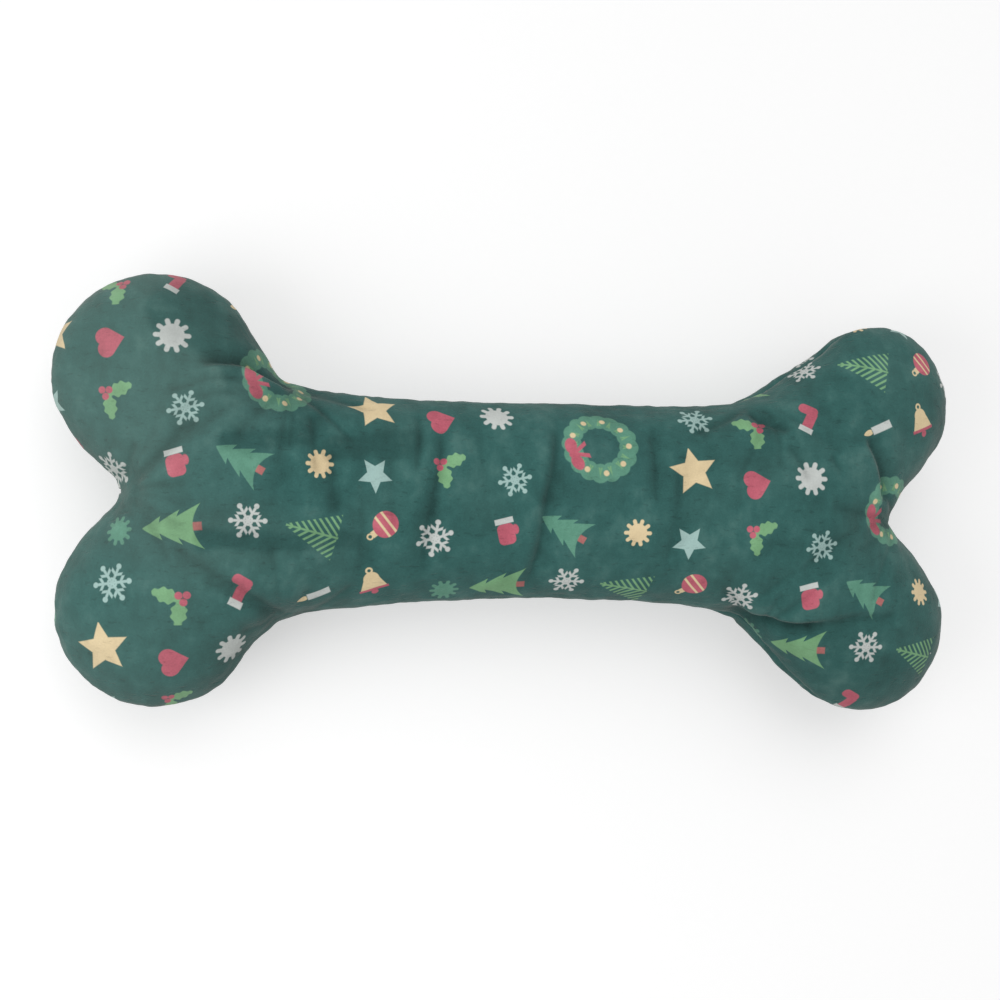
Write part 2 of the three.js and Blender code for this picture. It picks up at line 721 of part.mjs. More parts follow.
const plush = { color: 0x3d635f, roughness: 0.95 };
const thread = { color: 0x35524f, roughness: 0.7 };
const fibre = { color: 0xeeeeea, roughness: 0.95 };
const vinyl = { color: 0xe6e8e4, roughness: 0.4 };

const pieces = {
  cover_front_panel: [panelSolid(1), plush],
  cover_back_panel: [panelSolid(-1), plush],
  seam_needle_thread: [seamThread(1), thread],
  seam_bobbin_thread: [seamThread(-1), thread],
  closing_thread: [closingThread(), thread],
};
for (const [name, solid] of Object.entries(fillingWads())) pieces[name] = [solid, fibre];
Object.assign(pieces, {
  squeaker_bulb: [squeakerBulb(), vinyl],
  squeaker_sleeve: [squeakerSleeve(), vinyl],
  squeaker_reed_seat: [reedSeat(), vinyl],
  squeaker_reed: [reed(), vinyl],
  squeaker_reed_clamp: [halfPlug(-1, clampLength), vinyl],
});

const toy = new THREE.Group();
for (const [name, [solid, look]] of Object.entries(pieces)) {
  const tidy = solid.simplify(smoothing);
  const mesh = new THREE.Mesh(geometryOf(tidy), new THREE.MeshStandardMaterial(look));
  mesh.name = name;
  toy.add(mesh);
}

export default toy;
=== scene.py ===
# Looks for the bone-shaped plush dog toy: two printed plush panels over a swelling stuffed form,
# with the folds and puckers of the real one, its stitches, and the filling and squeaker inside.
import math

import bmesh
import bpy
import numpy as np
from mathutils import Matrix, Vector, noise
from mathutils.bvhtree import BVHTree


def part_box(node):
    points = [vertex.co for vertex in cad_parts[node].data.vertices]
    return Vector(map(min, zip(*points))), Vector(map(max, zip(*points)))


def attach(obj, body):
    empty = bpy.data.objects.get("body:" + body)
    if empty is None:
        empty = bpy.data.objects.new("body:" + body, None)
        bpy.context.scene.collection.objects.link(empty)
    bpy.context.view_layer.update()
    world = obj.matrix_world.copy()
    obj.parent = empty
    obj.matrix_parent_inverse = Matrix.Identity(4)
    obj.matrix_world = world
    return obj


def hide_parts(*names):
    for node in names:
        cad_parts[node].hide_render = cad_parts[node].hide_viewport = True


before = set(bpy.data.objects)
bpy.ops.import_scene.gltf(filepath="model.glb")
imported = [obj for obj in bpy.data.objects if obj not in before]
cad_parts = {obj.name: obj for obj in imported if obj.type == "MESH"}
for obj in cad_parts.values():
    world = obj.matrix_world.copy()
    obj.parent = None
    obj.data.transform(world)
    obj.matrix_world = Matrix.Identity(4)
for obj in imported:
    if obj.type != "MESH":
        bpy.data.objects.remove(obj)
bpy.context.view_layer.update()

bl_info = {
    "name": "Bone-shaped plush toy",
    "version": (1, 0, 0),
    "blender": (4, 5, 0),
    "location": "View3D > Sidebar > Plush toy",
    "description": "Builds the panels, seam, filling and squeaker of a bone-shaped plush toy",
    "category": "Add Mesh",
}

# Lengths are in millimetres where MM doesn't turn them into metres
MM = 0.001
FRONT = "cover_front_panel"
BACK = "cover_back_panel"
SEAM_HEIGHT = (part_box(FRONT)[0][2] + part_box(BACK)[1][2]) / 2 / MM
HALF_LENGTH = 152.5
HALF_SHANK = 32.5
HALF_SEAM_GAP = 0.1
FLOOR_SOFTNESS = 0.4


# Settings


def measure(name, description, millimetres):
    """A length the user can set."""
    return bpy.props.FloatProperty(
        name=name, description=description, default=millimetres * MM, unit="LENGTH", subtype="DISTANCE")


def tint(name, description, *linear):
    """A colour the user can set."""
    return bpy.props.FloatVectorProperty(
        name=name, description=description, default=linear, subtype="COLOR")


class PlushToyCoverSettings(bpy.types.PropertyGroup):
    knob_thickness: measure("Knob thickness", "Stuffed thickness at the fullest place of each end", 57.0)
    shank_thickness: measure("Shank thickness", "Stuffed thickness at the fullest place of the shank", 48.0)
    packing: bpy.props.FloatProperty(
        name="Packing",
        description="How far narrow places are stuffed out; 1 is a bare film, less is fuller",
        default=0.78, subtype="FACTOR")
    cloth_thickness: measure("Cloth thickness", "Thickness of the plush with its pile laid flat", 1.45)
    seam_groove: measure("Seam groove", "How far the stitches draw the edge in", 1.5)
    seam_bulge: measure("Seam bulge", "How far the cloth stands out beside the seam", 0.6)
    pucker: measure("Pucker", "Height of the small gathers beside the seam", 0.5)
    lumps: measure("Lumps", "Height of the slow unevenness of the filling", 0.9)


class PlushToyPrintSettings(bpy.types.PropertyGroup):
    cell_width: measure("Cell width", "Room along the shank for one printed figure", 21.0)
    cell_height: measure("Cell height", "Room across the shank for one printed figure", 20.0)
    print_blur: measure("Print blur", "Width over which the ink fades at a figure's edge", 0.45)
    ground: tint("Ground", "Colour of the plush between the printed figures", 0.039, 0.131, 0.120)
    red: tint("Red ink", "Colour of the hearts, stockings, mittens, baubles and bows", 0.56, 0.13, 0.18)
    cream: tint("Cream ink", "Colour of the stars, bells, beads and flames", 0.83, 0.665, 0.405)
    white: tint("White ink", "Colour of the snowflakes, candles and cuffs", 0.64, 0.675, 0.65)
    frost: tint("Frost ink", "Colour of the pale blue-green snowflakes", 0.40, 0.585, 0.55)
    green: tint("Green ink", "Colour of the wreaths", 0.122, 0.315, 0.225)
    lime: tint("Lime ink", "Colour of the sprigs, holly leaves and small firs", 0.215, 0.44, 0.225)
    bark: tint("Bark ink", "Colour of the fir trunks", 0.46, 0.165, 0.155)


class PlushToyStageSettings(bpy.types.PropertyGroup):
    fill_light: bpy.props.FloatProperty(
        name="Fill light", description="Strength of the even light from all round",
        default=0.49, subtype="FACTOR")
    key_light: bpy.props.FloatProperty(
        name="Key light", description="Strength of the soft daylight from above",
        default=0.82)
    window_light: bpy.props.FloatProperty(
        name="Window light", description="Power of the large soft light by the left end",
        default=1.0, unit="POWER")
    window_place: bpy.props.FloatVectorProperty(
        name="Window place", description="Middle of the large soft light",
        default=(-0.45, -0.12, 0.42), unit="LENGTH", subtype="TRANSLATION")
    camera_distance: measure("Camera distance", "From the lens to the middle of the toy", 512.0)
    camera_tilt: bpy.props.FloatProperty(
        name="Camera tilt", description="How far the view leans over the left end",
        default=math.radians(12.25), unit="ROTATION", subtype="ANGLE")
    camera_roll: bpy.props.FloatProperty(
        name="Camera roll", description="How far the picture is turned",
        default=math.radians(1.2), unit="ROTATION", subtype="ANGLE")


# Plan outline, in millimetres as in the CAD

KNOBS = {
    # half width, half height, how far its middle stands off the shank's line, how far its tip stops short
    "upper_left": (33.0, 32.3, 37.0, 0.0),
    "upper_right": (27.2, 28.2, 35.0, 0.3),
    "lower_right": (30.5, 29.8, 41.0, 0.0),
    "lower_left": (32.2, 32.0, 36.0, 2.4),
}
NECK_SHARES = {
    "upper_left": ((0.534, 1.19), (0.472, 1.08), (0.197, 0.99)),
    "upper_right": ((0.197, 1.015), (0.466, 1.065), (0.541, 1.182), (0.603, 1.372)),
    "lower_right": ((0.593, 1.6), (0.544, 1.366), (0.485, 1.169), (0.197, 1.015)),
    "lower_left": ((0.197, 1.034), (0.466, 1.169), (0.525, 1.262)),
}
LEFT_NOTCH = (21.8 - HALF_LENGTH, 0.5)
RIGHT_NOTCH = (HALF_LENGTH - 22.8, -4.2)
SAMPLES = 24


def knob_arc(name, side, up, start, end, steps):
    """Points on a knob's ellipse."""
    reach_x, reach_y, rise, short = KNOBS[name]
    centre = (side * (HALF_LENGTH - short - reach_x), up * rise)
    angles = np.radians(np.linspace(start, end, steps + 1))
    return [(centre[0] + reach_x * math.cos(a), centre[1] + reach_y * math.sin(a)) for a in angles]


def neck(name, side, up):
    """Points where the outline runs from a knob into the shank."""
    return [(side * along * HALF_LENGTH, up * across * HALF_SHANK) for along, across in NECK_SHARES[name]]


def outline_knots():
    """The outline clockwise from the left notch; each knob's arc runs between two angles in degrees."""
    return [
        LEFT_NOTCH,
        *knob_arc("upper_left", -1, 1, 222, 20, 7),
        *neck("upper_left", -1, 1),
        *neck("upper_right", 1, 1),
        *knob_arc("upper_right", 1, 1, 143, -54, 6),
        RIGHT_NOTCH,
        *knob_arc("lower_right", 1, -1, 47, -143, 6),
        *neck("lower_right", 1, -1),
        *neck("lower_left", -1, -1),
        *knob_arc("lower_left", -1, -1, -22, -222, 7),
    ]


def smooth_curve(knots, samples, closed=True):
    """A centripetal Catmull-Rom curve through the knots."""
    knots = np.array(knots, float)
    if not closed:
        knots = np.concatenate([[2 * knots[0] - knots[1]], knots, [2 * knots[-1] - knots[-2]]])
    count = len(knots)
    share = np.linspace(0, 1, samples, endpoint=False)[:, None]
    points = []
    for i in range(count) if closed else range(1, count - 2):
        p0, p1, p2, p3 = (knots[(i + k) % count] for k in (-1, 0, 1, 2))
        d0, d1, d2 = (math.sqrt(np.linalg.norm(b - a)) for a, b in ((p0, p1), (p1, p2), (p2, p3)))
        t1 = ((p1 - p0) / d0 - (p2 - p0) / (d0 + d1) + (p2 - p1) / d1) * d1
        t2 = ((p2 - p1) / d1 - (p3 - p1) / (d1 + d2) + (p3 - p2) / d2) * d1
        points.append(p1 + t1 * share + (3 * p2 - 3 * p1 - 2 * t1 - t2) * share**2
                      + (2 * p1 - 2 * p2 + t1 + t2) * share**3)
    if not closed:
        points.append(knots[-2:-1])
    return np.concatenate(points)


def sewn_outline():
    points = smooth_curve(outline_knots(), SAMPLES)
    return points - (points.max(axis=0) + points.min(axis=0)) / 2


OUTLINE = sewn_outline()


def stretch_of(start, end):
    """The outline's points from one number to another, in order along the toy."""
    count = len(OUTLINE)
    length = (end - start) % count
    points = OUTLINE[(start + np.arange(length + 1)) % count]
    return points[np.argsort(points[:, 0], kind="stable")]


def inward_of(loop):
    """The way in from each point of a clockwise outline."""
    spans = np.roll(loop, -1, axis=0) - np.roll(loop, 1, axis=0)
    inward = np.column_stack([spans[:, 1], -spans[:, 0]])
    return inward / np.linalg.norm(inward, axis=1, keepdims=True)


def landmarks():
    """Where each knob reaches farthest, and the bottom of the notch at each end, as point numbers."""
    x, y = OUTLINE.T
    marks = {}
    for name, (_, _, rise, _) in KNOBS.items():
        side = 1 if "right" in name else -1
        up = 1 if "upper" in name else -1
        near = np.flatnonzero((x * side > 0) & (y * up > rise / 2))
        marks[name] = near[np.argmax(x[near] * side)]
    right = np.arange(marks["upper_right"], marks["lower_right"])
    left = np.arange(marks["lower_left"], marks["upper_left"] + len(OUTLINE)) % len(OUTLINE)
    marks["right_notch"] = right[np.argmin(x[right])]
    marks["left_notch"] = left[np.argmax(x[left])]
    return marks


# Swelling form

# How many points the plan's mesh has each way, and how far they crowd towards the ends
COLUMNS = 480
TIP_COLUMNS = 44
ROWS = 58
COLUMN_CROWDING = 0.45
NOTCH_PULL = 45.0


def smoothstep(value, low, high):
    t = np.clip((value - low) / (high - low), 0, 1)
    return t * t * (3 - 2 * t)


def row_reach(rows, away):
    """Rows crowd towards the seam, and by a notch both ways."""
    turn = rows / ROWS * (math.pi / 2)
    both = (1 - np.cos(2 * turn)) / 2
    share = smoothstep(away, 0, NOTCH_PULL)
    return both * (1 - share) + np.sin(turn) * share


def plan_blocks(marks):
    """Grids of points that fill the outline: one from notch to notch, and one for the end of each knob."""
    top = stretch_of(marks["upper_left"], marks["upper_right"])
    bottom = stretch_of(marks["lower_right"], marks["lower_left"])
    left = OUTLINE[marks["left_notch"]]
    right = OUTLINE[marks["right_notch"]]
    u = np.linspace(0, 1, COLUMNS + 1)
    u = u - COLUMN_CROWDING * np.sin(2 * math.pi * u) / (2 * math.pi)
    x = left[0] + (right[0] - left[0]) * u
    centre = left[1] + (right[1] - left[1]) * u
    rows = np.arange(-ROWS, ROWS + 1)
    edge = np.where(rows[None] < 0, np.interp(x, *bottom.T)[:, None], np.interp(x, *top.T)[:, None])
    away = np.minimum(x - left[0], right[0] - x)[:, None]
    reach = row_reach(np.abs(rows)[None], away)
    y = centre[:, None] + (edge - centre[:, None]) * reach
    blocks = [np.stack([np.broadcast_to(x[:, None], y.shape), y], axis=-1)]
    for notch, tip, inner, outer in (
        (left, "upper_left", stretch_of(marks["left_notch"], marks["upper_left"]), top),
        (right, "upper_right", stretch_of(marks["upper_right"], marks["right_notch"]), top),
        (right, "lower_right", stretch_of(marks["right_notch"], marks["lower_right"]), bottom),
        (left, "lower_left", stretch_of(marks["lower_left"], marks["left_notch"]), bottom),
    ):
        end = OUTLINE[marks[tip]]
        turn = np.linspace(0, math.pi, TIP_COLUMNS + 1)
        x = notch[0] + (end[0] - notch[0]) * (1 - np.cos(turn)) / 2
        low = np.interp(x, *inner.T)[:, None]
        high = np.interp(x, *outer.T)[:, None]
        reach = row_reach(np.arange(ROWS + 1), 0)[None]
        y = low + (high - low) * reach
        y[-1] = end[1]
        x[-1] = end[0]
        blocks.append(np.stack([np.broadcast_to(x[:, None], y.shape), y], axis=-1))
    return blocks


def plan_mesh():
    """Points, quads and triangles that cover the outline, anticlockwise from above."""
    blocks = plan_blocks(landmarks())
    flat = np.concatenate([block.reshape(-1, 2) for block in blocks])
    points, numbers = np.unique(np.round(flat, 5), axis=0, return_inverse=True)
    ends = np.cumsum([block.shape[0] * block.shape[1] for block in blocks])
    quads = []
    for block, part in zip(blocks, np.split(numbers.ravel(), ends[:-1])):
        grid = part.reshape(block.shape[:2])
        corners = grid[:-1, :-1], grid[1:, :-1], grid[1:, 1:], grid[:-1, 1:]
        quads.append(np.stack(corners, axis=-1).reshape(-1, 4))
    quads = np.concatenate(quads)
    area = sum(points[quads[:, i], 0] * points[quads[:, (i + 1) % 4], 1]
               - points[quads[:, (i + 1) % 4], 0] * points[quads[:, i], 1] for i in range(4))
    quads[area < 0] = quads[area < 0][:, ::-1]
    triangles = np.concatenate([quads[:, (0, 1, 2)], quads[:, (0, 2, 3)]])
    whole = ((triangles[:, 0] != triangles[:, 1]) & (triangles[:, 1] != triangles[:, 2])
             & (triangles[:, 0] != triangles[:, 2]))
    return points, quads, triangles[whole]


def rim_of(quads, count):
    """The points on the edge of the plan: they lie on a side that no second face shares."""
    heads, tails = quads.ravel(), np.roll(quads, -1, axis=1).ravel()
    sides = np.sort(np.column_stack([heads, tails])[heads != tails], axis=1)
    sides, uses = np.unique(sides, axis=0, return_counts=True)
    rim = np.zeros(count, bool)
    rim[sides[uses % 2 == 1]] = True
    return rim


# The solver stops after this many sweeps, or once what is left of the load is this share of it
SWEEPS = 3000
FLAT_SWEEPS = 2500
SOLVED = 1e-16
POINTS_AT_ONCE = 4000
# Where the shank's thickness gives way to the knobs', as shares of half the length
SHANK_END = 0.3
KNOB_START = 0.6


def edge_pulls(points, triangles):
    """The pull of each triangle's edges on their ends: cotangents of the corners across from them."""
    pulls = []
    for i in range(3):
        at, b, c = (triangles[:, (i + k) % 3] for k in range(3))
        ab = points[b] - points[at]
        ac = points[c] - points[at]
        if points.shape[1] == 2:
            cross = np.abs(ab[:, 0] * ac[:, 1] - ab[:, 1] * ac[:, 0])
        else:
            cross = np.linalg.norm(np.cross(ab, ac), axis=1)
        pulls.append((b, c, (ab * ac).sum(axis=1) / np.maximum(cross, 1e-9) / 2, cross / 2))
    return pulls


def settle(pulls, load, held, start, sweeps):
    """Solve the sheet's balance by conjugate gradients, with the held points at rest."""
    ends = np.concatenate([np.stack([b, c]) for b, c, _, _ in pulls], axis=1)
    weight = np.concatenate([pull for _, _, pull, _ in pulls])
    count = len(load)
    full = np.bincount(ends[0], weight, count) + np.bincount(ends[1], weight, count)
    full = np.where(np.abs(full) < 1e-9, 1.0, full)

    def apply(value):
        out = full * value
        out -= np.bincount(ends[0], weight * value[ends[1]], count)
        out -= np.bincount(ends[1], weight * value[ends[0]], count)
        out[held] = 0
        return out

    value = start.copy()
    value[held] = 0
    rest = load - apply(value)
    rest[held] = 0
    scaled = rest / full
    step = scaled.copy()
    power = rest @ scaled
    first = power
    for _ in range(sweeps):
        along = apply(step)
        move = power / (step @ along)
        value += move * step
        rest -= move * along
        scaled = rest / full
        fresh = rest @ scaled
        if fresh < SOLVED * first:
            break
        step = scaled + fresh / power * step
        power = fresh
    return value


def nearest_on(line, points, closed=False):
    """How far each point is off a line, on which side, how far along it that is, and the line's length."""
    starts = line if closed else line[:-1]
    spans = (np.roll(line, -1, axis=0) - line)[:len(starts)]
    lengths = np.linalg.norm(spans, axis=1)
    before = np.concatenate([[0], np.cumsum(lengths)[:-1]])
    away, side, place = (np.empty(len(points)) for _ in range(3))
    for first in range(0, len(points), POINTS_AT_ONCE):
        part = slice(first, first + POINTS_AT_ONCE)
        off = points[part, None] - starts[None]
        share = np.clip((off * spans).sum(axis=2) / lengths**2, 0, 1)
        gap = np.linalg.norm(off - share[..., None] * spans, axis=2)
        best = np.argmin(gap, axis=1)
        rows = np.arange(len(best))
        away[part] = gap[rows, best]
        place[part] = before[best] + share[rows, best] * lengths[best]
        off = off[rows, best]
        side[part] = np.sign(spans[best, 0] * off[:, 1] - spans[best, 1] * off[:, 0])
    return away, side, place, lengths.sum()


def stuffed_form(cover):
    """The plan's mesh, how high the cloth stands over it, its rim, places round that, and its flat map."""
    points, quads, triangles = plan_mesh()
    _, _, place, girth = nearest_on(OUTLINE, points, closed=True)
    held = rim_of(quads, len(points))
    pulls = edge_pulls(points, triangles)
    # even pressure: a third of each triangle's area on each of its corners
    load = np.zeros(len(points))
    for b, c, _, area in pulls:
        load += np.bincount(b, area / 6, len(points)) + np.bincount(c, area / 6, len(points))
    pushed = settle(pulls, load, held, np.zeros(len(points)), SWEEPS)
    sheet = np.sqrt(2 * np.maximum(pushed, 0))
    share = points[:, 0] / HALF_LENGTH
    to_knob = smoothstep(np.abs(share), SHANK_END, KNOB_START)
    shank = cover.shank_thickness / MM / 2 * (sheet / sheet[np.abs(share) < SHANK_END].max())**cover.packing
    full = np.where(share < 0, sheet[share < -SHANK_END].max(), sheet[share > SHANK_END].max())
    knob = cover.knob_thickness / MM / 2 * (sheet / full)**cover.packing
    rise = shank + (knob - shank) * to_knob
    cloth = lay_flat(np.column_stack([points, rise]), triangles)
    return points, quads, triangles, rise, held, place / girth, cloth


def lay_flat(points, triangles):
    """Flat cloth coordinates of a swollen surface, in millimetres, as true to size as they can be."""
    pulls = edge_pulls(points, triangles)
    a, b, c = (points[triangles[:, i]] for i in range(3))
    normal = np.cross(b - a, c - a)
    normal /= np.maximum(np.linalg.norm(normal, axis=1, keepdims=True), 1e-12)
    up = np.array([0, 0, 1.0])
    flat = []
    for axis in range(2):
        along = np.eye(3)[axis] - (normal + up) * (normal[:, axis] / (1 + normal[:, 2]))[:, None]
        load = np.zeros(len(points))
        for one, other, pull, _ in pulls:
            wanted = pull * ((points[one] - points[other]) * along).sum(axis=1)
            load += np.bincount(one, wanted, len(points)) - np.bincount(other, wanted, len(points))
        start = points[:, axis].copy()
        held = np.zeros(len(points), bool)
        held[np.argmin(np.abs(points[:, 0]) + np.abs(points[:, 1]))] = True
        flat.append(settle(pulls, load, held, start, FLAT_SWEEPS))
    return np.stack(flat, axis=1)


# Folds in the stuffed cloth: sizes in millimetres, places as shares of half the length and half the shank

FOLD_FADE = 0.18
CREASE_WIDTH = 0.95
# How far a fold reaches, where its shoulder and its roll stand and how high, in widths and depths of it
FOLD_REACH = 4.5
SHOULDER_PLACE = 1.9
SHOULDER_WIDTH = 1.1
SHOULDER_HEIGHT = 0.3
ROLL_PLACE = 0.8
ROLL_HEIGHT = 0.9
# how much painted shade a valley gets, by the fold's depth
VALLEY_SHADE = 0.22


def line_through(shares):
    """A smooth line through places given as shares of half the length and half the shank."""
    return smooth_curve(np.array(shares) * (HALF_LENGTH, HALF_SHANK), 10, closed=False)


class Fold:
    """A valley in the cloth with a crisp crease in its bottom. Where one side laps over the other, on the
    left of the line's way if lap is above 0, it stands up in a roll and drops steeply into the crease.
    Depth, width and crease are in millimetres."""

    def __init__(self, depth, width, crease, shares, lap=0.0):
        self.depth, self.width, self.crease, self.lap = depth, width, crease, lap
        self.path = line_through(shares)

    def press(self, points):
        """How far each point moves out, and how much painted shade it gets in its crease and valley."""
        moved, shade = np.zeros(len(points)), np.zeros(len(points))
        reach = FOLD_REACH * self.width
        inside = (points > self.path.min(axis=0) - reach) & (points < self.path.max(axis=0) + reach)
        near = np.flatnonzero(inside.all(axis=1))
        away, side, place, length = nearest_on(self.path, points[near])
        share = place / length
        fade = smoothstep(share, 0, FOLD_FADE) * smoothstep(1 - share, 0, FOLD_FADE)
        over = np.maximum(side * self.lap, 0)
        valley = np.exp(-(away / (self.width * (1 - 0.5 * over)))**2)
        crease = np.exp(-(away / CREASE_WIDTH)**2)
        shoulder = np.exp(-((away - SHOULDER_PLACE * self.width) / (SHOULDER_WIDTH * self.width))**2)
        climb = (away / (ROLL_PLACE * self.width))**2
        roll = over * climb * np.exp(1 - climb)
        rise = SHOULDER_HEIGHT * shoulder + ROLL_HEIGHT * roll - valley
        moved[near] = fade * (self.depth * rise - self.crease * crease)
        # painted shade: darkest in the crease, fainter over the valley
        shade[near] = fade * (np.minimum(self.crease, 1) * crease + VALLEY_SHADE * self.depth * valley)
        return moved, shade


FRONT_FOLDS = (
    # the shank, from left to right
    Fold(0.9, 3.2, 0.35, ((-0.475, 0.86), (-0.47, 0.50), (-0.465, 0.20))),
    Fold(1.0, 3.6, 0.35, ((-0.435, 0.50), (-0.43, 0.15), (-0.42, -0.20))),
    Fold(0.6, 4.2, 0.15, ((-0.375, 0.42), (-0.37, -0.10), (-0.365, -0.80))),
    Fold(0.5, 3.6, 0.15, ((-0.31, 0.50), (-0.31, 0.10), (-0.30, -0.50))),
    Fold(0.4, 2.4, 0.55, ((-0.25, 0.88), (-0.25, 0.60), (-0.26, 0.25))),
    Fold(0.95, 3.8, 0.5, ((-0.20, 0.80), (-0.205, 0.45), (-0.22, 0.04), (-0.235, -0.44), (-0.24, -0.74)),
         lap=0.6),
    Fold(0.4, 3.5, 0.2, ((-0.12, 0.85), (-0.12, 0.50), (-0.11, 0.15))),
    Fold(0.95, 4.0, 0.45, ((0.05, 0.92), (0.04, 0.42), (0.02, -0.05), (0.01, -0.45), (-0.01, -0.90)),
         lap=-0.6),
    Fold(0.75, 3.4, 0.35, ((0.26, 0.82), (0.26, 0.40), (0.26, -0.02))),
    Fold(0.5, 3.8, 0.2, ((0.31, 0.45), (0.31, 0.05), (0.30, -0.30), (0.29, -0.68))),
    Fold(0.6, 5.0, 0.15, ((0.49, 0.86), (0.50, 0.53), (0.50, 0.20))),
    # the upper right neck, and the shank's end lapping over the knob there
    Fold(1.0, 3.2, 0.6, ((0.485, 1.04), (0.50, 0.93), (0.53, 0.87), (0.565, 0.79))),
    Fold(0.9, 3.6, 0.45, ((0.55, 0.66), (0.57, 0.55), (0.585, 0.42), (0.60, 0.26))),
    Fold(1.2, 3.4, 0.55, ((0.735, 0.78), (0.755, 0.65), (0.775, 0.48), (0.79, 0.30), (0.795, 0.06)),
         lap=-0.7),
    Fold(0.3, 2.2, 0.4, ((0.65, 0.58), (0.66, 0.48), (0.68, 0.37))),
    # the lower right neck, and the wide slack by the right end
    Fold(1.2, 2.8, 0.7, ((0.45, -1.04), (0.51, -1.17), (0.60, -1.24), (0.66, -1.21)), lap=0.8),
    Fold(0.7, 2.6, 0.25, ((0.58, -1.24), (0.66, -1.19), (0.74, -1.12), (0.85, -1.10)), lap=0.7),
    Fold(0.5, 3.4, 0.25, ((0.58, -0.62), (0.54, -0.78), (0.50, -0.98))),
    Fold(0.6, 4.5, 0.25, ((0.75, -0.15), (0.70, -0.24), (0.65, -0.42), (0.57, -0.69))),
    Fold(0.5, 3.5, 0.2, ((0.50, -0.31), (0.55, -0.39), (0.60, -0.38))),
    # the upper left neck, with puckers that fan out from its corner
    Fold(1.4, 3.0, 0.8, ((-0.50, 1.07), (-0.56, 1.20), (-0.61, 1.29), (-0.66, 1.30), (-0.72, 1.26)),
         lap=0.8),
    Fold(0.55, 2.4, 0.4, ((-0.58, 1.10), (-0.68, 1.12), (-0.78, 0.95))),
    Fold(0.5, 2.4, 0.4, ((-0.58, 1.03), (-0.69, 0.95), (-0.76, 0.72))),
    Fold(0.55, 2.6, 0.3, ((-0.56, 1.01), (-0.64, 0.86), (-0.72, 0.56))),
    Fold(0.5, 2.8, 0.25, ((-0.53, 1.00), (-0.58, 0.83), (-0.64, 0.50))),
    # the left notch and the lower left neck
    Fold(0.8, 2.8, 0.45, ((-0.855, 0.06), (-0.79, 0.34), (-0.74, 0.54), (-0.69, 0.80))),
    Fold(0.7, 2.8, 0.4, ((-0.858, 0.10), (-0.845, 0.28), (-0.825, 0.52))),
    Fold(0.5, 3.0, 0.2, ((-0.86, -0.05), (-0.83, -0.20), (-0.77, -0.28))),
    Fold(0.45, 2.6, 0.45, ((-0.76, -0.44), (-0.70, -0.64), (-0.635, -0.84), (-0.59, -0.96))),
    Fold(0.9, 3.4, 0.5, ((-0.65, -0.80), (-0.585, -0.97), (-0.53, -1.13), (-0.50, -1.18))),
    Fold(0.5, 3.0, 0.3, ((-0.52, -1.17), (-0.56, -1.25), (-0.61, -1.33))),
    # the right notch
    Fold(0.7, 3.2, 0.35, ((0.862, -0.13), (0.81, -0.14), (0.74, -0.18))),
)
BACK_FOLDS = (
    Fold(1.0, 4.2, 0.35, ((-0.38, 0.88), (-0.40, 0.20), (-0.38, -0.56))),
    Fold(0.8, 4.2, 0.3, ((-0.14, 0.83), (-0.17, 0.29), (-0.14, -0.32))),
    Fold(1.0, 4.4, 0.5, ((0.09, 0.68), (0.12, 0.12), (0.09, -0.39), (0.10, -0.83)), lap=0.5),
    Fold(0.9, 4.0, 0.35, ((0.34, 0.92), (0.33, 0.20), (0.35, -0.62))),
    Fold(1.1, 4.0, 0.5, ((-0.54, 1.03), (-0.59, 0.65), (-0.68, 0.42))),
    Fold(1.3, 3.0, 0.6, ((-0.49, -1.10), (-0.57, -1.24), (-0.65, -1.26), (-0.74, -1.18)), lap=-0.8),
    Fold(1.0, 4.2, 0.5, ((0.53, 1.04), (0.61, 0.72), (0.71, 0.58))),
    Fold(1.0, 4.4, 0.4, ((0.51, -1.22), (0.57, -0.89), (0.67, -0.69))),
    Fold(0.9, 3.4, 0.4, ((-0.863, 0.03), (-0.82, 0.02), (-0.74, 0.07))),
    Fold(0.9, 3.4, 0.4, ((0.862, -0.13), (0.81, -0.09), (0.73, -0.05))),
)
# Where the outline turns in, the cloth is pulled and creases fan out: place, way in by degrees, how many
CORNERS = (
    ((-0.52, 1.12), -75, 5), ((-0.52, -1.22), 80, 4), ((0.52, 1.14), -110, 5), ((0.525, -1.28), 105, 4),
    ((-0.85, 0.03), 8, 6), ((0.843, -0.13), 176, 5),
)

# Where a hand has stroked the pile flat it looks darker: how dark, half the stroke's width, its places
FRONT_STROKES = (
    (0.75, 3.4, ((-0.64, 0.55), (-0.565, 0.54), (-0.48, 0.60))),
    (0.85, 4.4, ((-0.43, 0.50), (-0.35, 0.53), (-0.27, 0.56))),
    (0.75, 3.4, ((-0.69, -0.41), (-0.54, -0.43), (-0.39, -0.39))),
    (0.60, 9.5, ((-0.75, 1.73), (-0.67, 1.60), (-0.61, 1.42))),
    (0.45, 6.0, ((-0.56, 1.05), (-0.50, 0.91), (-0.47, 0.68))),
    (0.40, 12.0, ((0.68, -1.40), (0.78, -1.74))),
)
BACK_STROKES = (
    (0.70, 4.0, ((-0.30, 0.35), (-0.12, 0.30), (0.05, 0.42))),
    (0.60, 8.0, ((0.66, 1.30), (0.76, 1.05))),
    (0.65, 3.6, ((0.20, -0.50), (0.36, -0.44), (0.50, -0.52))),
)
FRAY = 0.6
FRAY_SIZE = 7
STROKE_CORE = 0.5
STROKE_RIM = 1.3


def stroked_pile(plan, strokes, seed):
    """How far the pile is stroked flat at each point, from 0 to 1, with frayed edges."""
    amount = np.zeros(len(plan))
    fray = 1 + FRAY * rough(np.column_stack([plan, np.zeros(len(plan))]), FRAY_SIZE, seed)
    for dark, half_width, shares in strokes:
        away = nearest_on(line_through(shares), plan)[0] * fray
        stroke = 1 - smoothstep(away, STROKE_CORE * half_width, STROKE_RIM * half_width)
        amount = np.maximum(amount, dark * stroke)
    return amount


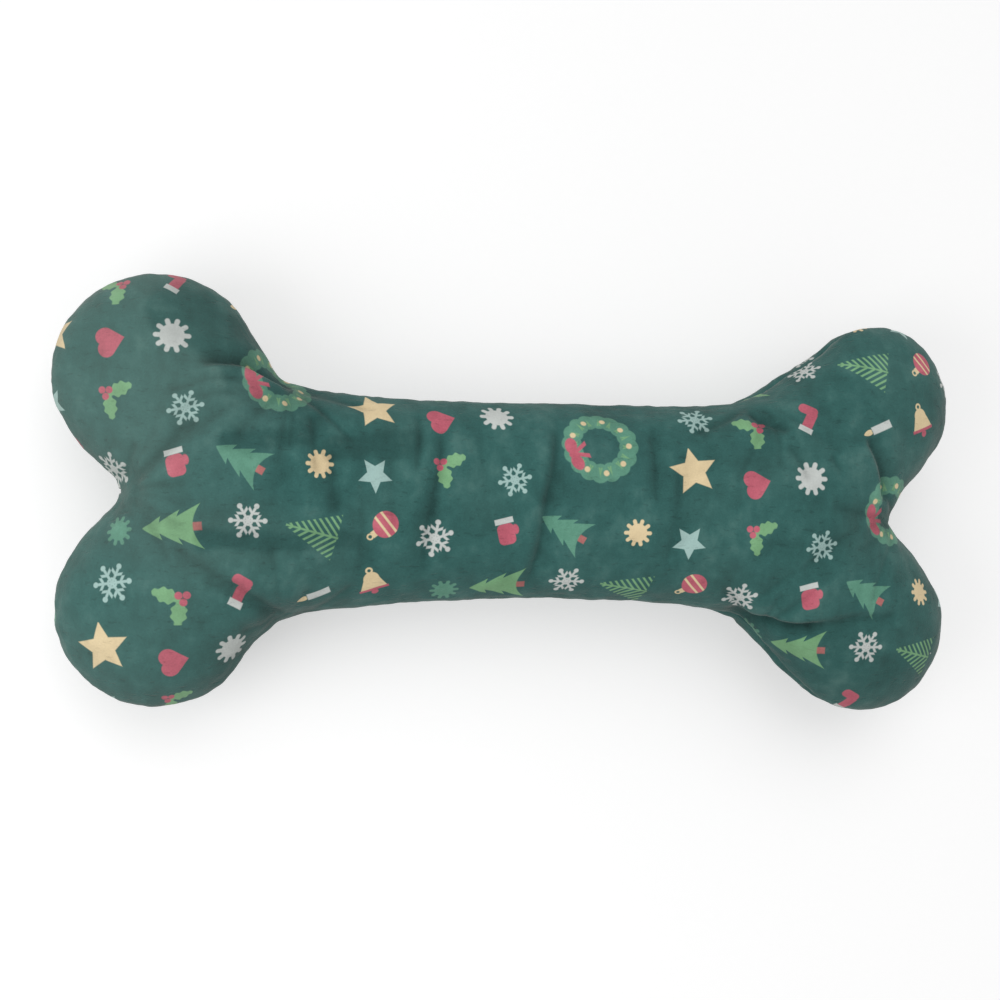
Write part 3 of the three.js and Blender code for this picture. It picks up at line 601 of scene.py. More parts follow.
FAN_HALF_ANGLE = 62
FAN_STRAY = 8
FAN_BEND = 14
FAN_LENGTHS = (14, 34)
FAN_DEPTHS = (0.15, 0.45)
FAN_WIDTHS = (2.2, 3.6)
FAN_CREASES = (0.15, 0.5)


def fan_folds(seed):
    """Small creases that fan out from the corners of the outline."""
    draw = np.random.default_rng(seed)
    folds = []
    for corner, way, count in CORNERS:
        fan = way + np.linspace(-FAN_HALF_ANGLE, FAN_HALF_ANGLE, count)
        for angle in fan + draw.uniform(-FAN_STRAY, FAN_STRAY, count):
            length, bend = draw.uniform(*FAN_LENGTHS), draw.uniform(-FAN_BEND, FAN_BEND)
            shares = []
            for out in (0.06, 0.5, 1):
                turn = math.radians(angle + bend * out)
                shares.append((corner[0] + out * length * math.cos(turn) / HALF_LENGTH,
                               corner[1] + out * length * math.sin(turn) / HALF_SHANK))
            folds.append(Fold(
                draw.uniform(*FAN_DEPTHS), draw.uniform(*FAN_WIDTHS), draw.uniform(*FAN_CREASES), shares))
    return folds


# The panels' surface

ALLOWANCE_ROWS = (1.5, 2.6, 3.7, 4.7)
BULGE_HEIGHT = 5.5
BULGE_SPREAD = 4
EDGE_EASE = 0.45
GROOVE_HEIGHT = 2.4
GROOVE_VARIES = 0.35
GROOVE_GRAIN = 9
PUCKER_REACH = 11.0
# The noise of the seam is laid round a drum, so that it meets itself: its radius, and its height's scale
DRUM_RADIUS = 140
DRUM_RISE = 60
GATHER_SEED = 7
# Noise on the surface, as layers of a size and a share
GATHERS = ((5.5, 1), (2.9, 0.6))
LUMPS = ((34, 1), (15, 0.55))
FINE_LUMPS = ((8, 0.28), (3.2, 0.08))
# The lumps fade out at the seam by these heights, and the folds by these
LUMPS_FADE = (1, 9)
FOLDS_FADE = (0, 7)
# The raised mark, which paints light on raised places and shade in hollows, has its middle at 0.5, and
# changes by 1 over this height
RAISED_RANGE = 2.4
# Painted light makes the pile paler from here to here towards the left end, most at the upper side, and
# random pale patches of this share and size are added
PAINTED_LIGHT_FROM = 0.4
PAINTED_LIGHT_FULL = 0.85
PAINTED_LIGHT_TILT = 0.2
PALE_PATCH_SHARE = 0.35
PALE_PATCH_SIZE = 24


def rough(points, size, seed):
    """Slow noise over the points, from -1 to 1."""
    shift = Vector((seed * 13.7, seed * 5.3, seed * 9.1))
    return np.array([noise.noise(Vector(p) / size + shift) for p in points])


def layered(points, layers, seed):
    """Noise of several sizes laid over each other, each with its share."""
    return sum(share * rough(points, size, seed + number) for number, (size, share) in enumerate(layers))


def outward_of(points, faces):
    """The way out at each point of a surface, from the faces round it."""
    a, b, c = (points[faces[:, i]] for i in range(3))
    ways = np.cross(b - a, c - a)
    out = np.zeros((len(points), 3))
    for axis in range(3):
        for corner in faces.T:
            out[:, axis] += np.bincount(corner, ways[:, axis], len(points))
    return out / np.maximum(np.linalg.norm(out, axis=1, keepdims=True), 1e-12)


def off_outline(place):
    """The level way out at places along the outline."""
    spans = np.linalg.norm(np.roll(OUTLINE, -1, axis=0) - OUTLINE, axis=1)
    along = np.concatenate([[0], np.cumsum(spans)]) / spans.sum()
    ways = -inward_of(OUTLINE)
    x, y = (np.interp(place, along, np.append(way, way[0])) for way in ways.T)
    return np.column_stack([x, y, np.zeros(len(place))])


def panel_surface(cover, form, folds, strokes, seed):
    """A panel's outer face above the seam plane, with its turned-in edge, its flat map and its marks."""
    plan, quads, triangles, rise, held, place, cloth = form
    points = np.column_stack([plan, rise])
    out = outward_of(points, triangles)
    out[held] = off_outline(place[held])
    out /= np.linalg.norm(out, axis=1, keepdims=True)
    level = out * (1, 1, 0)

    # the stitches draw the edge in, and the cloth stands out in a roll beside it
    turn = 2 * math.pi * place
    drum = np.column_stack([np.cos(turn), np.sin(turn), rise / DRUM_RISE]) * DRUM_RADIUS
    groove = cover.seam_groove / MM * (1 + GROOVE_VARIES * rough(drum, GROOVE_GRAIN, seed + 1))
    groove *= np.exp(-(rise / GROOVE_HEIGHT)**2)
    bulge = cover.seam_bulge / MM * np.exp(-((rise - BULGE_HEIGHT) / BULGE_SPREAD)**2)
    pucker = cover.pucker / MM * layered(drum, GATHERS, GATHER_SEED) * np.exp(-rise / PUCKER_REACH)
    points += level * (bulge - groove + pucker - EDGE_EASE)[:, None]

    lumps = cover.lumps / MM * layered(points, LUMPS, seed + 2) + layered(points, FINE_LUMPS, seed + 4)
    folded = np.zeros(len(points))
    shade = np.zeros(len(points))
    # each point keeps the darkest painted crease shade of the folds over it
    for fold in [*folds, *fan_folds(seed)]:
        press, depth = fold.press(plan)
        folded += press
        shade = np.maximum(shade, depth)
    raised = lumps * smoothstep(rise, *LUMPS_FADE) + folded * smoothstep(rise, *FOLDS_FADE)
    points += out * raised[:, None]
    # painted light: the pile is painted paler towards the left end and the upper side, with random pale
    # patches on top
    painted_light_and_patches = smoothstep(-points[:, 0] / HALF_LENGTH, PAINTED_LIGHT_FROM, PAINTED_LIGHT_FULL)
    painted_light_and_patches *= 1 - PAINTED_LIGHT_TILT * (1 - np.clip(points[:, 1] / HALF_SHANK, -1, 1))
    painted_light_and_patches += PALE_PATCH_SHARE * rough(points, PALE_PATCH_SIZE, seed + 6)
    # marks for the shader: painted crease shade, the height that paints light and shade, painted light
    # towards the left end with random patches, and stroked pile
    marks = {
        "fold": np.clip(shade, 0, 1),
        "raised": np.clip(raised / RAISED_RANGE + 0.5, 0, 1),
        "painted_light_and_patches": np.clip(painted_light_and_patches, 0, 1),
        "stroked": stroked_pile(plan, strokes, seed + 7),
    }

    # the allowance turns in along the seam plane
    edge = np.flatnonzero(held)
    edge = edge[np.argsort(place[edge])]
    inward = np.column_stack([inward_of(points[edge]), np.zeros(len(edge))])
    rows = [edge]
    for inset in ALLOWANCE_ROWS:
        rows.append(len(points) + np.arange(len(edge)))
        points = np.concatenate([points, points[edge] + inward * inset])
        cloth = np.concatenate([cloth, cloth[edge] - inward[:, :2] * inset])
    turned_in = len(points) - len(plan)
    # the turned-in allowance gets full painted crease shade, and zero for the other marks
    for mark, amounts in marks.items():
        marks[mark] = np.append(amounts, np.full(turned_in, float(mark == "fold")))
    strips = [np.stack([near, np.roll(near, -1), np.roll(far, -1), far], axis=1)
              for near, far in zip(rows, rows[1:])]
    quads = np.concatenate([quads, *strips])
    if not np.isfinite(points).all():
        raise RuntimeError("The panel's surface has a point without a place")
    return points, quads, cloth, marks


# Making pieces


def mesh_of(name, points, faces):
    """A mesh from points in metres; repeated corners of a face are dropped."""
    faces = [tuple(dict.fromkeys(face)) for face in faces.tolist()]
    faces = [face for face in faces if len(face) > 2]
    mesh = bpy.data.meshes.new(name)
    mesh.from_pydata(points.tolist(), [], faces)
    mesh.polygons.foreach_set("use_smooth", [True] * len(mesh.polygons))
    mesh.update()
    return mesh


def dress(mesh, *materials):
    """Gives a mesh these materials in place of its own."""
    mesh.materials.clear()
    for material in materials:
        mesh.materials.append(material)


def object_of(name, data, matrix=Matrix.Identity(4)):
    """An object in the scene."""
    made = bpy.data.objects.new(name, data)
    made.matrix_world = matrix
    bpy.context.scene.collection.objects.link(made)
    return made


def piece_of(name, mesh, *materials):
    """A piece in the scene, with its materials."""
    dress(mesh, *materials)
    return object_of(name, mesh)


def settled(piece):
    """Turns what the piece's modifiers make into its own mesh."""
    seen = bpy.context.evaluated_depsgraph_get()
    mesh = bpy.data.meshes.new_from_object(
        piece.evaluated_get(seen), preserve_all_data_layers=True, depsgraph=seen)
    mesh.name = piece.name
    piece.modifiers.clear()
    piece.data = mesh
    return piece


def values_of(layer, field, width, kind=np.float32):
    values = np.empty(len(layer) * width, kind)
    layer.foreach_get(field, values)
    return values.reshape(-1, width)


# The bake's map: room round the outer face, and where the lining's own part starts and ends
BAKE_ROOM = 1.01
BAKE_EDGE = 0.004
LINING_START = (0.01, 0.02)
LINING_END = 0.97


def panel_piece(name, side, points, quads, cloth, marks, thickness, materials):
    """A panel as a closed wall: its outer face, and the lining inside it as the second material."""
    mesh = mesh_of(name, points * MM, quads)
    corners = values_of(mesh.loops, "vertex_index", 1, np.int32)[:, 0]
    low = cloth.min(axis=0)
    size = (cloth.max(axis=0) - low).max() * BAKE_ROOM
    for label, places in (("cloth", cloth * MM), ("OFBake", (cloth - low) / size + BAKE_EDGE)):
        layer = mesh.uv_layers.new(name=label)
        layer.uv.foreach_set("vector", places[corners].astype(np.float32).ravel())
    for mark, amounts in marks.items():
        layer = mesh.attributes.new(mark, "FLOAT", "POINT")
        layer.data.foreach_set("value", amounts.astype(np.float32))
    piece = piece_of(name, mesh, *materials)
    wall = piece.modifiers.new("wall", "SOLIDIFY")
    wall.thickness, wall.offset, wall.material_offset = thickness, -1, 1
    settled(piece)

    # at the seam the lining stops on the allowance, which lies flat on the other panel's
    mesh = piece.data
    places = values_of(mesh.vertices, "co", 3)
    lining = places[len(points):]
    height = side * (lining[:, 2] - SEAM_HEIGHT * MM)
    lining[:, 2] = SEAM_HEIGHT * MM + side * np.maximum(height, HALF_SEAM_GAP * MM + thickness)
    mesh.vertices.foreach_set("co", places.ravel())
    mesh.update()

    # the lining gets its own part of the bake's map
    counts = values_of(mesh.polygons, "loop_total", 1, np.int32)[:, 0]
    lined = np.repeat(values_of(mesh.polygons, "material_index", 1, np.int32)[:, 0], counts) == 1
    layer = mesh.uv_layers["OFBake"].uv
    spread = values_of(layer, "vector", 2)
    top = spread[:, 1].max()
    spread[lined] *= (LINING_END - top) / top
    spread[lined] += LINING_START + np.array([0, top])
    layer.foreach_set("vector", spread.ravel())
    mesh.uv_layers.active = mesh.uv_layers["cloth"]
    mesh.uv_layers["cloth"].active_render = True
    return piece


# Node trees


def add_node(tree, kind, inputs=(), **settings):
    """A node with its settings, and with each input linked to a socket or set to a value."""
    node = tree.nodes.new(kind)
    for label, value in settings.items():
        setattr(node, label, value)
    for place, value in dict(inputs).items():
        if isinstance(value, Amount):
            value = value.socket
        if isinstance(value, bpy.types.NodeSocket):
            tree.links.new(value, node.inputs[place])
        else:
            node.inputs[place].default_value = value
    return node


class Amount:
    """A value that a node tree works out, so that drawing with nodes reads as arithmetic."""

    def __init__(self, tree, socket):
        self.tree, self.socket = tree, socket

    def do(self, operation, *others):
        node = add_node(self.tree, "ShaderNodeMath", enumerate((self, *others)), operation=operation)
        return Amount(self.tree, node.outputs[0])

    def __add__(self, other):
        return self.do("ADD", other)

    def __sub__(self, other):
        return self.do("SUBTRACT", other)

    def __rsub__(self, other):
        return self.do("MULTIPLY_ADD", -1.0, other)

    def __mul__(self, other):
        return self.do("MULTIPLY", other)

    def __truediv__(self, other):
        return self.do("DIVIDE", other)

    def __abs__(self):
        return self.do("ABSOLUTE")

    def __neg__(self):
        return self.do("MULTIPLY", -1.0)

    __radd__, __rmul__ = __add__, __mul__

    def eased(self, low, high):
        node = add_node(self.tree, "ShaderNodeMapRange", {"Value": self, "From Min": low, "From Max": high},
                        interpolation_type="SMOOTHSTEP")
        return Amount(self.tree, node.outputs["Result"])


def least(first, *others):
    for other in others:
        first = first.do("MINIMUM", other)
    return first


def most(first, *others):
    for other in others:
        first = first.do("MAXIMUM", other)
    return first


def span(x, y):
    return (x * x + y * y).do("SQRT")


def box(x, y, half_width, half_height):
    return most(abs(x) - half_width, abs(y) - half_height)


def wedge(x, y, sides):
    """The place in one wedge of a figure that repeats all round: along its middle, and across."""
    angle = x.do("ARCTAN2", y).do("PINGPONG", math.pi / sides)
    away = span(x, y)
    return away * angle.do("COSINE"), away * angle.do("SINE"), away


# Figures of the print, in millimetres: each gives how far a place is outside the figure


def star(x, y, reach, waist):
    along, across, _ = wedge(x, y, 5)
    run, drop = waist * math.cos(math.pi / 5) - reach, waist * math.sin(math.pi / 5)
    edge = math.hypot(run, drop)
    return (along - reach) * (drop / edge) - across * (run / edge)


def snowflake(x, y, reach):
    along, across, away = wedge(x, y, 6)
    arm = most(across - 0.42, along - reach)
    slant = (along - reach * 0.5) * 0.87 - across * 0.5
    branch = most(abs(slant) - 0.42, across - reach * 0.34)
    tip = span(along - reach, across) - 0.85
    return least(arm, branch, tip, abs(away - reach * 0.24) - 0.38)


def rosette(x, y, reach):
    along, across, away = wedge(x, y, 10)
    return least(span(most(along - reach + 0.7, 0.0), across) - 0.7, away - reach * 0.66)


def tiers(x, y, half_width, height, count):
    up = y + x * x * (0.9 / half_width**1.4)
    step = (up * (count / height)).do("FRACT")
    width = (1 - up / height) * (half_width * 0.72) + (1 - step) * (half_width * 0.30)
    return most((abs(x) - width) * 0.85, -up, up - height * 0.985)


def wreath(x, y, ring, half_width):
    """A ring with a leafy edge, and the veins between its leaves."""
    along, across, away = wedge(x, y, 16)
    leafy = abs(away - ring) - half_width - along.do("SUBTRACT", away) * 3.5
    vein = most(abs(across + (along - ring) * 0.22) - 0.22, abs(along - ring) - half_width * 0.6)
    return leafy, vein


def wreath_bow(x, y):
    side = abs(x)
    loops = span((side - 2.7) * 0.72, y + side * 0.12) - 1.75
    tails = most(abs(side - 1.3 + (y + 3) * 0.45) - 0.65, abs(y + 2.4) - 2.2)
    return least(loops, tails, span(x, y) - 1.25)


def heart(x, y, size):
    side = abs(x)
    return least(side + abs(y) - size, (span(side - size / 2, y - size / 2) * math.sqrt(2)) - size) * 0.71


def stocking(x, y):
    leg = box(x + 1.0, y - 1.4, 1.9, 4.2)
    foot = span(most(abs(x - 1.0) - 1.9, 0.0), most(abs(y + 3.2) - 0.3, 0.0)) - 1.7
    return least(leg, foot)


def candle(x, y):
    return box(x, y + 2.0, 1.35, 4.0), span(x * 1.75, y - 4.1 + abs(x) * 0.8) - 1.75


def holly_leaves(x, y):
    side = abs(x)
    along = side * 0.77 + y * 0.64 - 4.3
    across = abs(side * 0.64 - y * 0.77) + 2.9
    return span(along, across) - 5.2 + (along * 2.4).do("COSINE") * 0.3


def holly_berries(x, y):
    return least(span(abs(x) - 1.25, y + 0.3) - 1.2, span(x, y + 2.4) - 1.2)


def bell(x, y):
    flare = (1.6 - y) * 0.42 + 2.9
    skirt = most(abs(x) - flare, y - 1.6, -3.2 - y)
    return least(span(x, y - 1.6) - 2.9, skirt, abs(span(x, y - 5.2) - 1.0) - 0.35)


def mitten(x, y):
    palm = span(most(abs(x) - 1.3, 0.0), most(abs(y - 1.6) - 2.2, 0.0)) - 2.1
    return least(palm, span(x + 3.9, (y - 0.3) * 0.62) - 1.25)


def sprig(x, y):
    stem = most(abs(x) - 0.32, abs(y) - 9.0)
    needle = abs(((y - abs(x) * 1.15) / 2.7).do("FRACT") - 0.5) * 2.7 - 0.55
    return least(stem, most(needle, abs(x) - (10 - y) * 0.42, abs(y) - 8.6))


FIGURES = ("wreath", "star", "snowflake", "rosette", "small_fir", "stocking", "heart", "candle", "holly",
           "bauble", "bell", "mitten", "sprig")
# One repeat of the print: figure, shift along and across in cells, turn in degrees, scale and ink
REPEAT = (
    ("wreath", 0.5, 0.5, 20, 1.12, "green"),
    ("wreath", -0.5, 0.5, 20, 1.12, "green"),
    ("star", 0.0, 0.1, -8, 1.0, "cream"),
    ("heart", 0.05, -0.1, 14, 0.86, "red"),
    ("rosette", -0.1, 0.0, 0, 1.08, "white"),
    ("wreath", 0.5, -0.5, 20, 1.12, "green"),
    ("wreath", -0.5, -0.5, 20, 1.12, "green"),
    ("snowflake", 0.12, 0.1, 10, 1.0, "frost"),
    ("holly", 0.1, -0.1, 35, 1.0, "lime"),
    ("stocking", -0.05, 0.05, 60, 0.9, "red"),
    ("candle", 0.1, -0.1, 25, 0.95, "white"),
    ("bell", 0.0, 0.12, -70, 0.9, "cream"),
    ("rosette", 0.15, -0.1, 8, 0.92, "green"),
    ("small_fir", -0.05, 0.0, 6, 1.0, "lime"),
    ("snowflake", 0.05, 0.15, 0, 0.95, "white"),
    ("sprig", 0.0, 0.0, -14, 0.95, "lime"),
    ("bauble", 0.1, 0.1, 40, 0.85, "red"),
    ("snowflake", -0.1, -0.1, 22, 1.0, "white"),
    ("mitten", 0.0, 0.05, 105, 0.82, "red"),
    ("small_fir", -0.1, 0.1, -28, 0.9, "green"),
    ("rosette", 0.1, 0.05, 0, 0.9, "cream"),
    ("star", -0.05, -0.1, 20, 0.7, "frost"),
    ("holly", 0.0, 0.1, 150, 0.9, "lime"),
    ("snowflake", 0.12, -0.12, 12, 0.9, "frost"),
)
ROW_STEP = 5


def srgb(*levels):
    """A colour picked on a screen, none of it near black, as the shaders want it."""
    return (*(((level / 255 + 0.055) / 1.055)**2.4 for level in levels), 1)


def darker(colour, share):
    return (*(level * share for level in colour[:3]), 1)


def group_tree(name, inputs, outputs):
    """A shader node group with its named sockets, and its two end nodes."""
    tree = bpy.data.node_groups.new(name, "ShaderNodeTree")
    for way, sockets in (("INPUT", inputs), ("OUTPUT", outputs)):
        for label, kind, value in sockets:
            socket = tree.interface.new_socket(name=label, in_out=way, socket_type="NodeSocket" + kind)
            if value is not None:
                socket.default_value = value
    return tree, tree.nodes.new("NodeGroupInput"), tree.nodes.new("NodeGroupOutput")


def blended(tree, share, first, second, kind="MIX"):
    """One colour over another."""
    colours = {0: share, 6: first, 7: second}
    return add_node(tree, "ShaderNodeMix", colours, data_type="RGBA", blend_type=kind).outputs[2]


def noise_of(tree, vector, scale, detail, roughness):
    node = add_node(tree, "ShaderNodeTexNoise", {
        "Vector": vector, "Scale": scale, "Detail": detail, "Roughness": roughness})
    return Amount(tree, node.outputs["Fac"])


def stretched(tree, vector, factors):
    """A place with each way scaled, so that a noise there runs longer one way than the other."""
    return add_node(tree, "ShaderNodeVectorMath", {0: vector, 1: factors}, operation="MULTIPLY").outputs[0]


def split(tree, vector):
    return [Amount(tree, socket) for socket in add_node(tree, "ShaderNodeSeparateXYZ", {0: vector}).outputs]


def looked_up(tree, place, colours):
    """A table: a stepped ramp with one colour for each figure of the repeat."""
    node = add_node(tree, "ShaderNodeValToRGB", {0: place})
    ramp = node.color_ramp
    ramp.interpolation = "CONSTANT"
    for number, colour in enumerate(colours):
        mark = ramp.elements[number] if number < 2 else ramp.elements.new(number / len(colours))
        mark.position = number / len(colours)
        mark.color = (*colour[:3], 1)
    return node.outputs[0]


INKS = ("Red", "Cream", "White", "Frost", "Green", "Lime", "Bark")


def festive_print(settings):
    """Winter figures on a plain ground, laid out in a repeat of slanting rows."""
    tree, start, end = group_tree(
        "Festive print",
        [("Vector", "Vector", None), ("Ground", "Color", (*settings.ground, 1))]
        + [(ink, "Color", (*getattr(settings, ink.lower()), 1)) for ink in INKS],
        [("Color", "Color", None)])
    inks = {ink.lower(): start.outputs[ink] for ink in INKS}

    across_cloth, along_cloth, _ = split(tree, start.outputs["Vector"])
    column = across_cloth / settings.cell_width
    row = along_cloth / settings.cell_height
    whole_column, whole_row = column.do("FLOOR"), row.do("FLOOR")
    number = (whole_column + whole_row * ROW_STEP).do("FLOORED_MODULO", len(REPEAT))
    place = (number + 0.5) / len(REPEAT)
    kind, shift_x, shift_y = split(tree, looked_up(tree, place, [
        (FIGURES.index(name) / len(FIGURES), 0.5 + dx / 2, 0.5 + dy / 2) for name, dx, dy, *_ in REPEAT]))
    turn, scale, _ = split(tree, looked_up(tree, place, [
        (degrees % 360 / 360, size / 2, 0) for _, _, _, degrees, size, _ in REPEAT]))
    own_ink = looked_up(tree, place, [getattr(settings, ink) for *_, ink in REPEAT])
    kind = (kind * len(FIGURES) + 0.5).do("FLOOR")

    # the cloth is cut sideways, so the figures' tops point along the toy
    scale = scale * 2 * MM
    east = (column - whole_column - shift_x * 2 + 0.5) * settings.cell_width / scale
    north = (row - whole_row - shift_y * 2 + 0.5) * settings.cell_height / scale
    angle = turn * (2 * math.pi) + math.pi / 2
    cosine, sine = angle.do("COSINE"), angle.do("SINE")
    x = east * cosine + north * sine
    y = north * cosine - east * sine

    blur = settings.print_blur / MM
    colour = start.outputs["Ground"]

    def lay(figure, ink, outside):
        nonlocal colour
        chosen = kind.do("COMPARE", float(FIGURES.index(figure)), 0.25)
        colour = blended(tree, (-outside).eased(-blur / 2, blur / 2) * chosen, colour, ink)

    lay("star", own_ink, star(x, y, 7.6, 3.6) - 0.3)
    lay("snowflake", own_ink, snowflake(x, y, 5.4))
    lay("rosette", own_ink, rosette(x, y, 5.2))
    lay("heart", own_ink, heart(x, y, 4.6))

    body, vein = wreath(x, y, 8.6, 2.9)
    lay("wreath", inks["green"], body)
    lay("wreath", inks["lime"], vein)
    along, across, _ = wedge(x, y, 9)
    lay("wreath", inks["cream"], span(along - 8.6, across) - 0.85)
    lay("wreath", inks["red"], wreath_bow(x, y - 8.8))

    lay("small_fir", inks["bark"], box(x, y + 7.9, 1.3, 1.6))
    lay("small_fir", own_ink, tiers(x, y + 6.8, 7.0, 15.6, 3))

    lay("stocking", inks["red"], stocking(x, y))
    lay("stocking", inks["white"], box(x + 1.0, y - 4.9, 2.6, 1.2))

    stick, flame = candle(x, y)
    lay("candle", own_ink, stick)
    lay("candle", inks["cream"], flame)

    lay("holly", inks["lime"], holly_leaves(x, y))
    lay("holly", inks["red"], holly_berries(x, y))

    body = span(x, y + 0.8) - 5.0
    lay("bauble", inks["cream"], least(box(x, y - 4.8, 1.3, 0.9), abs(span(x, y - 6.6) - 1.0) - 0.3))
    lay("bauble", inks["red"], body)
    lay("bauble", inks["cream"], most(body, abs(abs(y + 0.8) - 1.5) - 0.45))

    lay("bell", inks["red"], span(x, y + 5.0) - 1.25)
    lay("bell", inks["cream"], bell(x, y))
    lay("bell", inks["red"], box(x, y + 3.5, 5.3, 0.55))

    lay("mitten", inks["red"], mitten(x, y))
    lay("mitten", inks["white"], box(x, y + 3.9, 3.7, 1.15))

    lay("sprig", inks["lime"], sprig(x, y))
    tree.links.new(colour, end.inputs["Color"])
    return tree


# The pile's noises: scale, detail and roughness
LEAN_NOISE = (48, 3, 0.6)
MOTTLE_NOISE = (160, 4, 0.65)
STREAK_NOISE = (230, 2, 0.6)
PARTING_NOISE = (620, 2, 0.6)
PILE_NOISE = (1500, 2, 0.65)
ACROSS_TOY = (1, 0.4, 1)
ALONG_TOY = (0.38, 1, 1)
# Parts of the parting noise that show as a pale tick and as a dark one
PALE_TICK = (0.36, 0.30)
DARK_TICK = (0.60, 0.70)
# grey that pale nap patches and painted light blend the pile towards
PALE_NAP_AND_PAINTED_LIGHT = (0.30, 0.36, 0.31, 1)
LINT = (0.62, 0.66, 0.62, 1)
LINT_SCALE = 62
LINT_SIZE = 0.026
LINT_RARITY = 0.72


def plush_nap():
    """Short plush: patches where the pile leans, faint streaks across the toy, short ticks where the pile
    parts, its grain, painted light on raised places and towards the left end, painted shade in hollows and
    creases, darker stroked pile and a little lint."""
    tree, start, end = group_tree(
        "Plush nap",
        [("Vector", "Vector", None), ("Color", "Color", (0.5, 0.5, 0.5, 1)), ("Fold", "Float", 0.0),
         ("Raised", "Float", 0.5), ("Painted_light_and_patches", "Float", 0.0), ("Stroked", "Float", 0.0),
         ("Patches", "Float", 0.42), ("Grain", "Float", 0.2), ("Lint", "Float", 1.0)],
        [("Color", "Color", None), ("Height", "Float", None), ("Roughness", "Float", None)])
    vector = start.outputs["Vector"]
    patches, grain, lint, painted_light_and_patches, stroked, fold, raised = (
        Amount(tree, start.outputs[name])
        for name in ("Patches", "Grain", "Lint", "Painted_light_and_patches", "Stroked", "Fold", "Raised"))
    pale = split(tree, start.outputs["Color"])[1].eased(0.2, 0.6)
    # raised places are painted lighter and hollows darker: painted light and shade by height
    lean = (noise_of(tree, vector, *LEAN_NOISE) - 0.5) * patches * 1.7 + (raised - 0.5) * 0.4
    mottle = (noise_of(tree, vector, *MOTTLE_NOISE) - 0.5) * patches * 1.6
    streak = (noise_of(tree, stretched(tree, vector, ACROSS_TOY), *STREAK_NOISE) - 0.5) * patches * 0.8
    parting = noise_of(tree, stretched(tree, vector, ALONG_TOY), *PARTING_NOISE)
    ticks = parting.eased(*PALE_TICK) * 0.10 - parting.eased(*DARK_TICK) * 0.16
    pile = noise_of(tree, vector, *PILE_NOISE) - 0.5
    nap_and_painted_relief_light = lean + mottle + streak
    shade = (nap_and_painted_relief_light + ticks + pile * grain * 2) * (1 - pale * 0.5) + 1
    # painted shade in the creases, and darker stroked pile
    shade = shade * (1 - fold * 0.3) * (1 - stroked * 0.3)
    grey = add_node(tree, "ShaderNodeCombineXYZ", enumerate((shade,) * 3))
    colour = blended(tree, 1.0, start.outputs["Color"], grey.outputs[0], "MULTIPLY")
    # greyer where the nap patches and the painted relief light run high, and where the painted light of the
    # left end falls, less on stroked pile
    paled_by_nap_and_painted_light = nap_and_painted_relief_light.eased(0.0, 0.5) * 0.16 + painted_light_and_patches * (1 - stroked) * 0.15
    colour = blended(tree, paled_by_nap_and_painted_light, colour, PALE_NAP_AND_PAINTED_LIGHT)

    cells = add_node(tree, "ShaderNodeTexVoronoi", {"Vector": vector, "Scale": LINT_SCALE})
    _, draw, _ = split(tree, cells.outputs["Color"])
    speck = Amount(tree, cells.outputs["Distance"]).do("LESS_THAN", LINT_SIZE)
    speck = speck * draw.do("GREATER_THAN", LINT_RARITY) * lint
    colour = blended(tree, speck * 0.7, colour, LINT)
    tree.links.new(colour, end.inputs["Color"])
    tree.links.new((pile * 0.7 + ticks * 3 + streak + mottle + lean).socket, end.inputs["Height"])
    tree.links.new((0.86 + pile * 0.2).socket, end.inputs["Roughness"])
    return tree


def material_of(name, **constants):
    """A material whose shader has these constants on its own sockets."""
    material = bpy.data.materials.new(name)
    material.use_nodes = True
    nodes = material.node_tree.nodes
    shader = next(node for node in nodes if node.type == "BSDF_PRINCIPLED")
    for label, value in constants.items():
        shader.inputs[label.replace("_", " ")].default_value = value
    return material, material.node_tree, shader


def placed_group(tree, group, **links):
    return add_node(tree, "ShaderNodeGroup", links, node_tree=group)


def bumped(tree, shader, height, strength, distance):
    """Small relief on a material, its distance in metres."""
    bump = add_node(tree, "ShaderNodeBump", {"Strength": strength, "Distance": distance, "Height": height})
    tree.links.new(bump.outputs[0], shader.inputs["Normal"])


def map_of(tree, name):
    return add_node(tree, "ShaderNodeUVMap", uv_map=name).outputs[0]


def object_place(tree):
    return tree.nodes.new("ShaderNodeTexCoord").outputs["Object"]


def background_rays(tree):
    """1 for a ray that shows the background: to the camera, or mirrored or refracted by the toy."""
    rays = tree.nodes.new("ShaderNodeLightPath")
    return most(*(Amount(tree, rays.outputs[way])
                  for way in ("Is Camera Ray", "Is Glossy Ray", "Is Transmission Ray")))


# Materials, with lengths in metres

PILE_SHEEN = (0.85, 0.76, 0.72, 1)
KNIT_RIB = 0.0011
KNIT_COURSE = 0.0008
KNIT_LOOP = 0.0002
KNIT_DARK = (0.16, 0.27, 0.24, 1)
KNIT_PALE = (0.33, 0.45, 0.41, 1)
THREAD_TWIST = 0.0009
FIBRE_WARP = 160
FIBRE_BEND = 0.006
FIBRE_SCALE = 900
FIBRE_EDGE = 0.12
CLUMP_NOISE = (130, 3, 0.6)
CLUMP_RANGE = (0.3, 0.7)
FIBRE_PALE = (0.86, 0.86, 0.84, 1)
FIBRE_DARK = (0.68, 0.69, 0.68, 1)
FLOW_NOISE = (90, 3, 0.5)
FLOW_RANGE = (0.3, 0.7)
SCUFF_NOISE = (900, 4, 0.7)
SCUFF_RANGE = (0.5, 0.72)


def waves(amount, pitch):
    """Even waves along a length, from -1 to 1."""
    return (amount * 2 * math.pi / pitch).do("SINE")


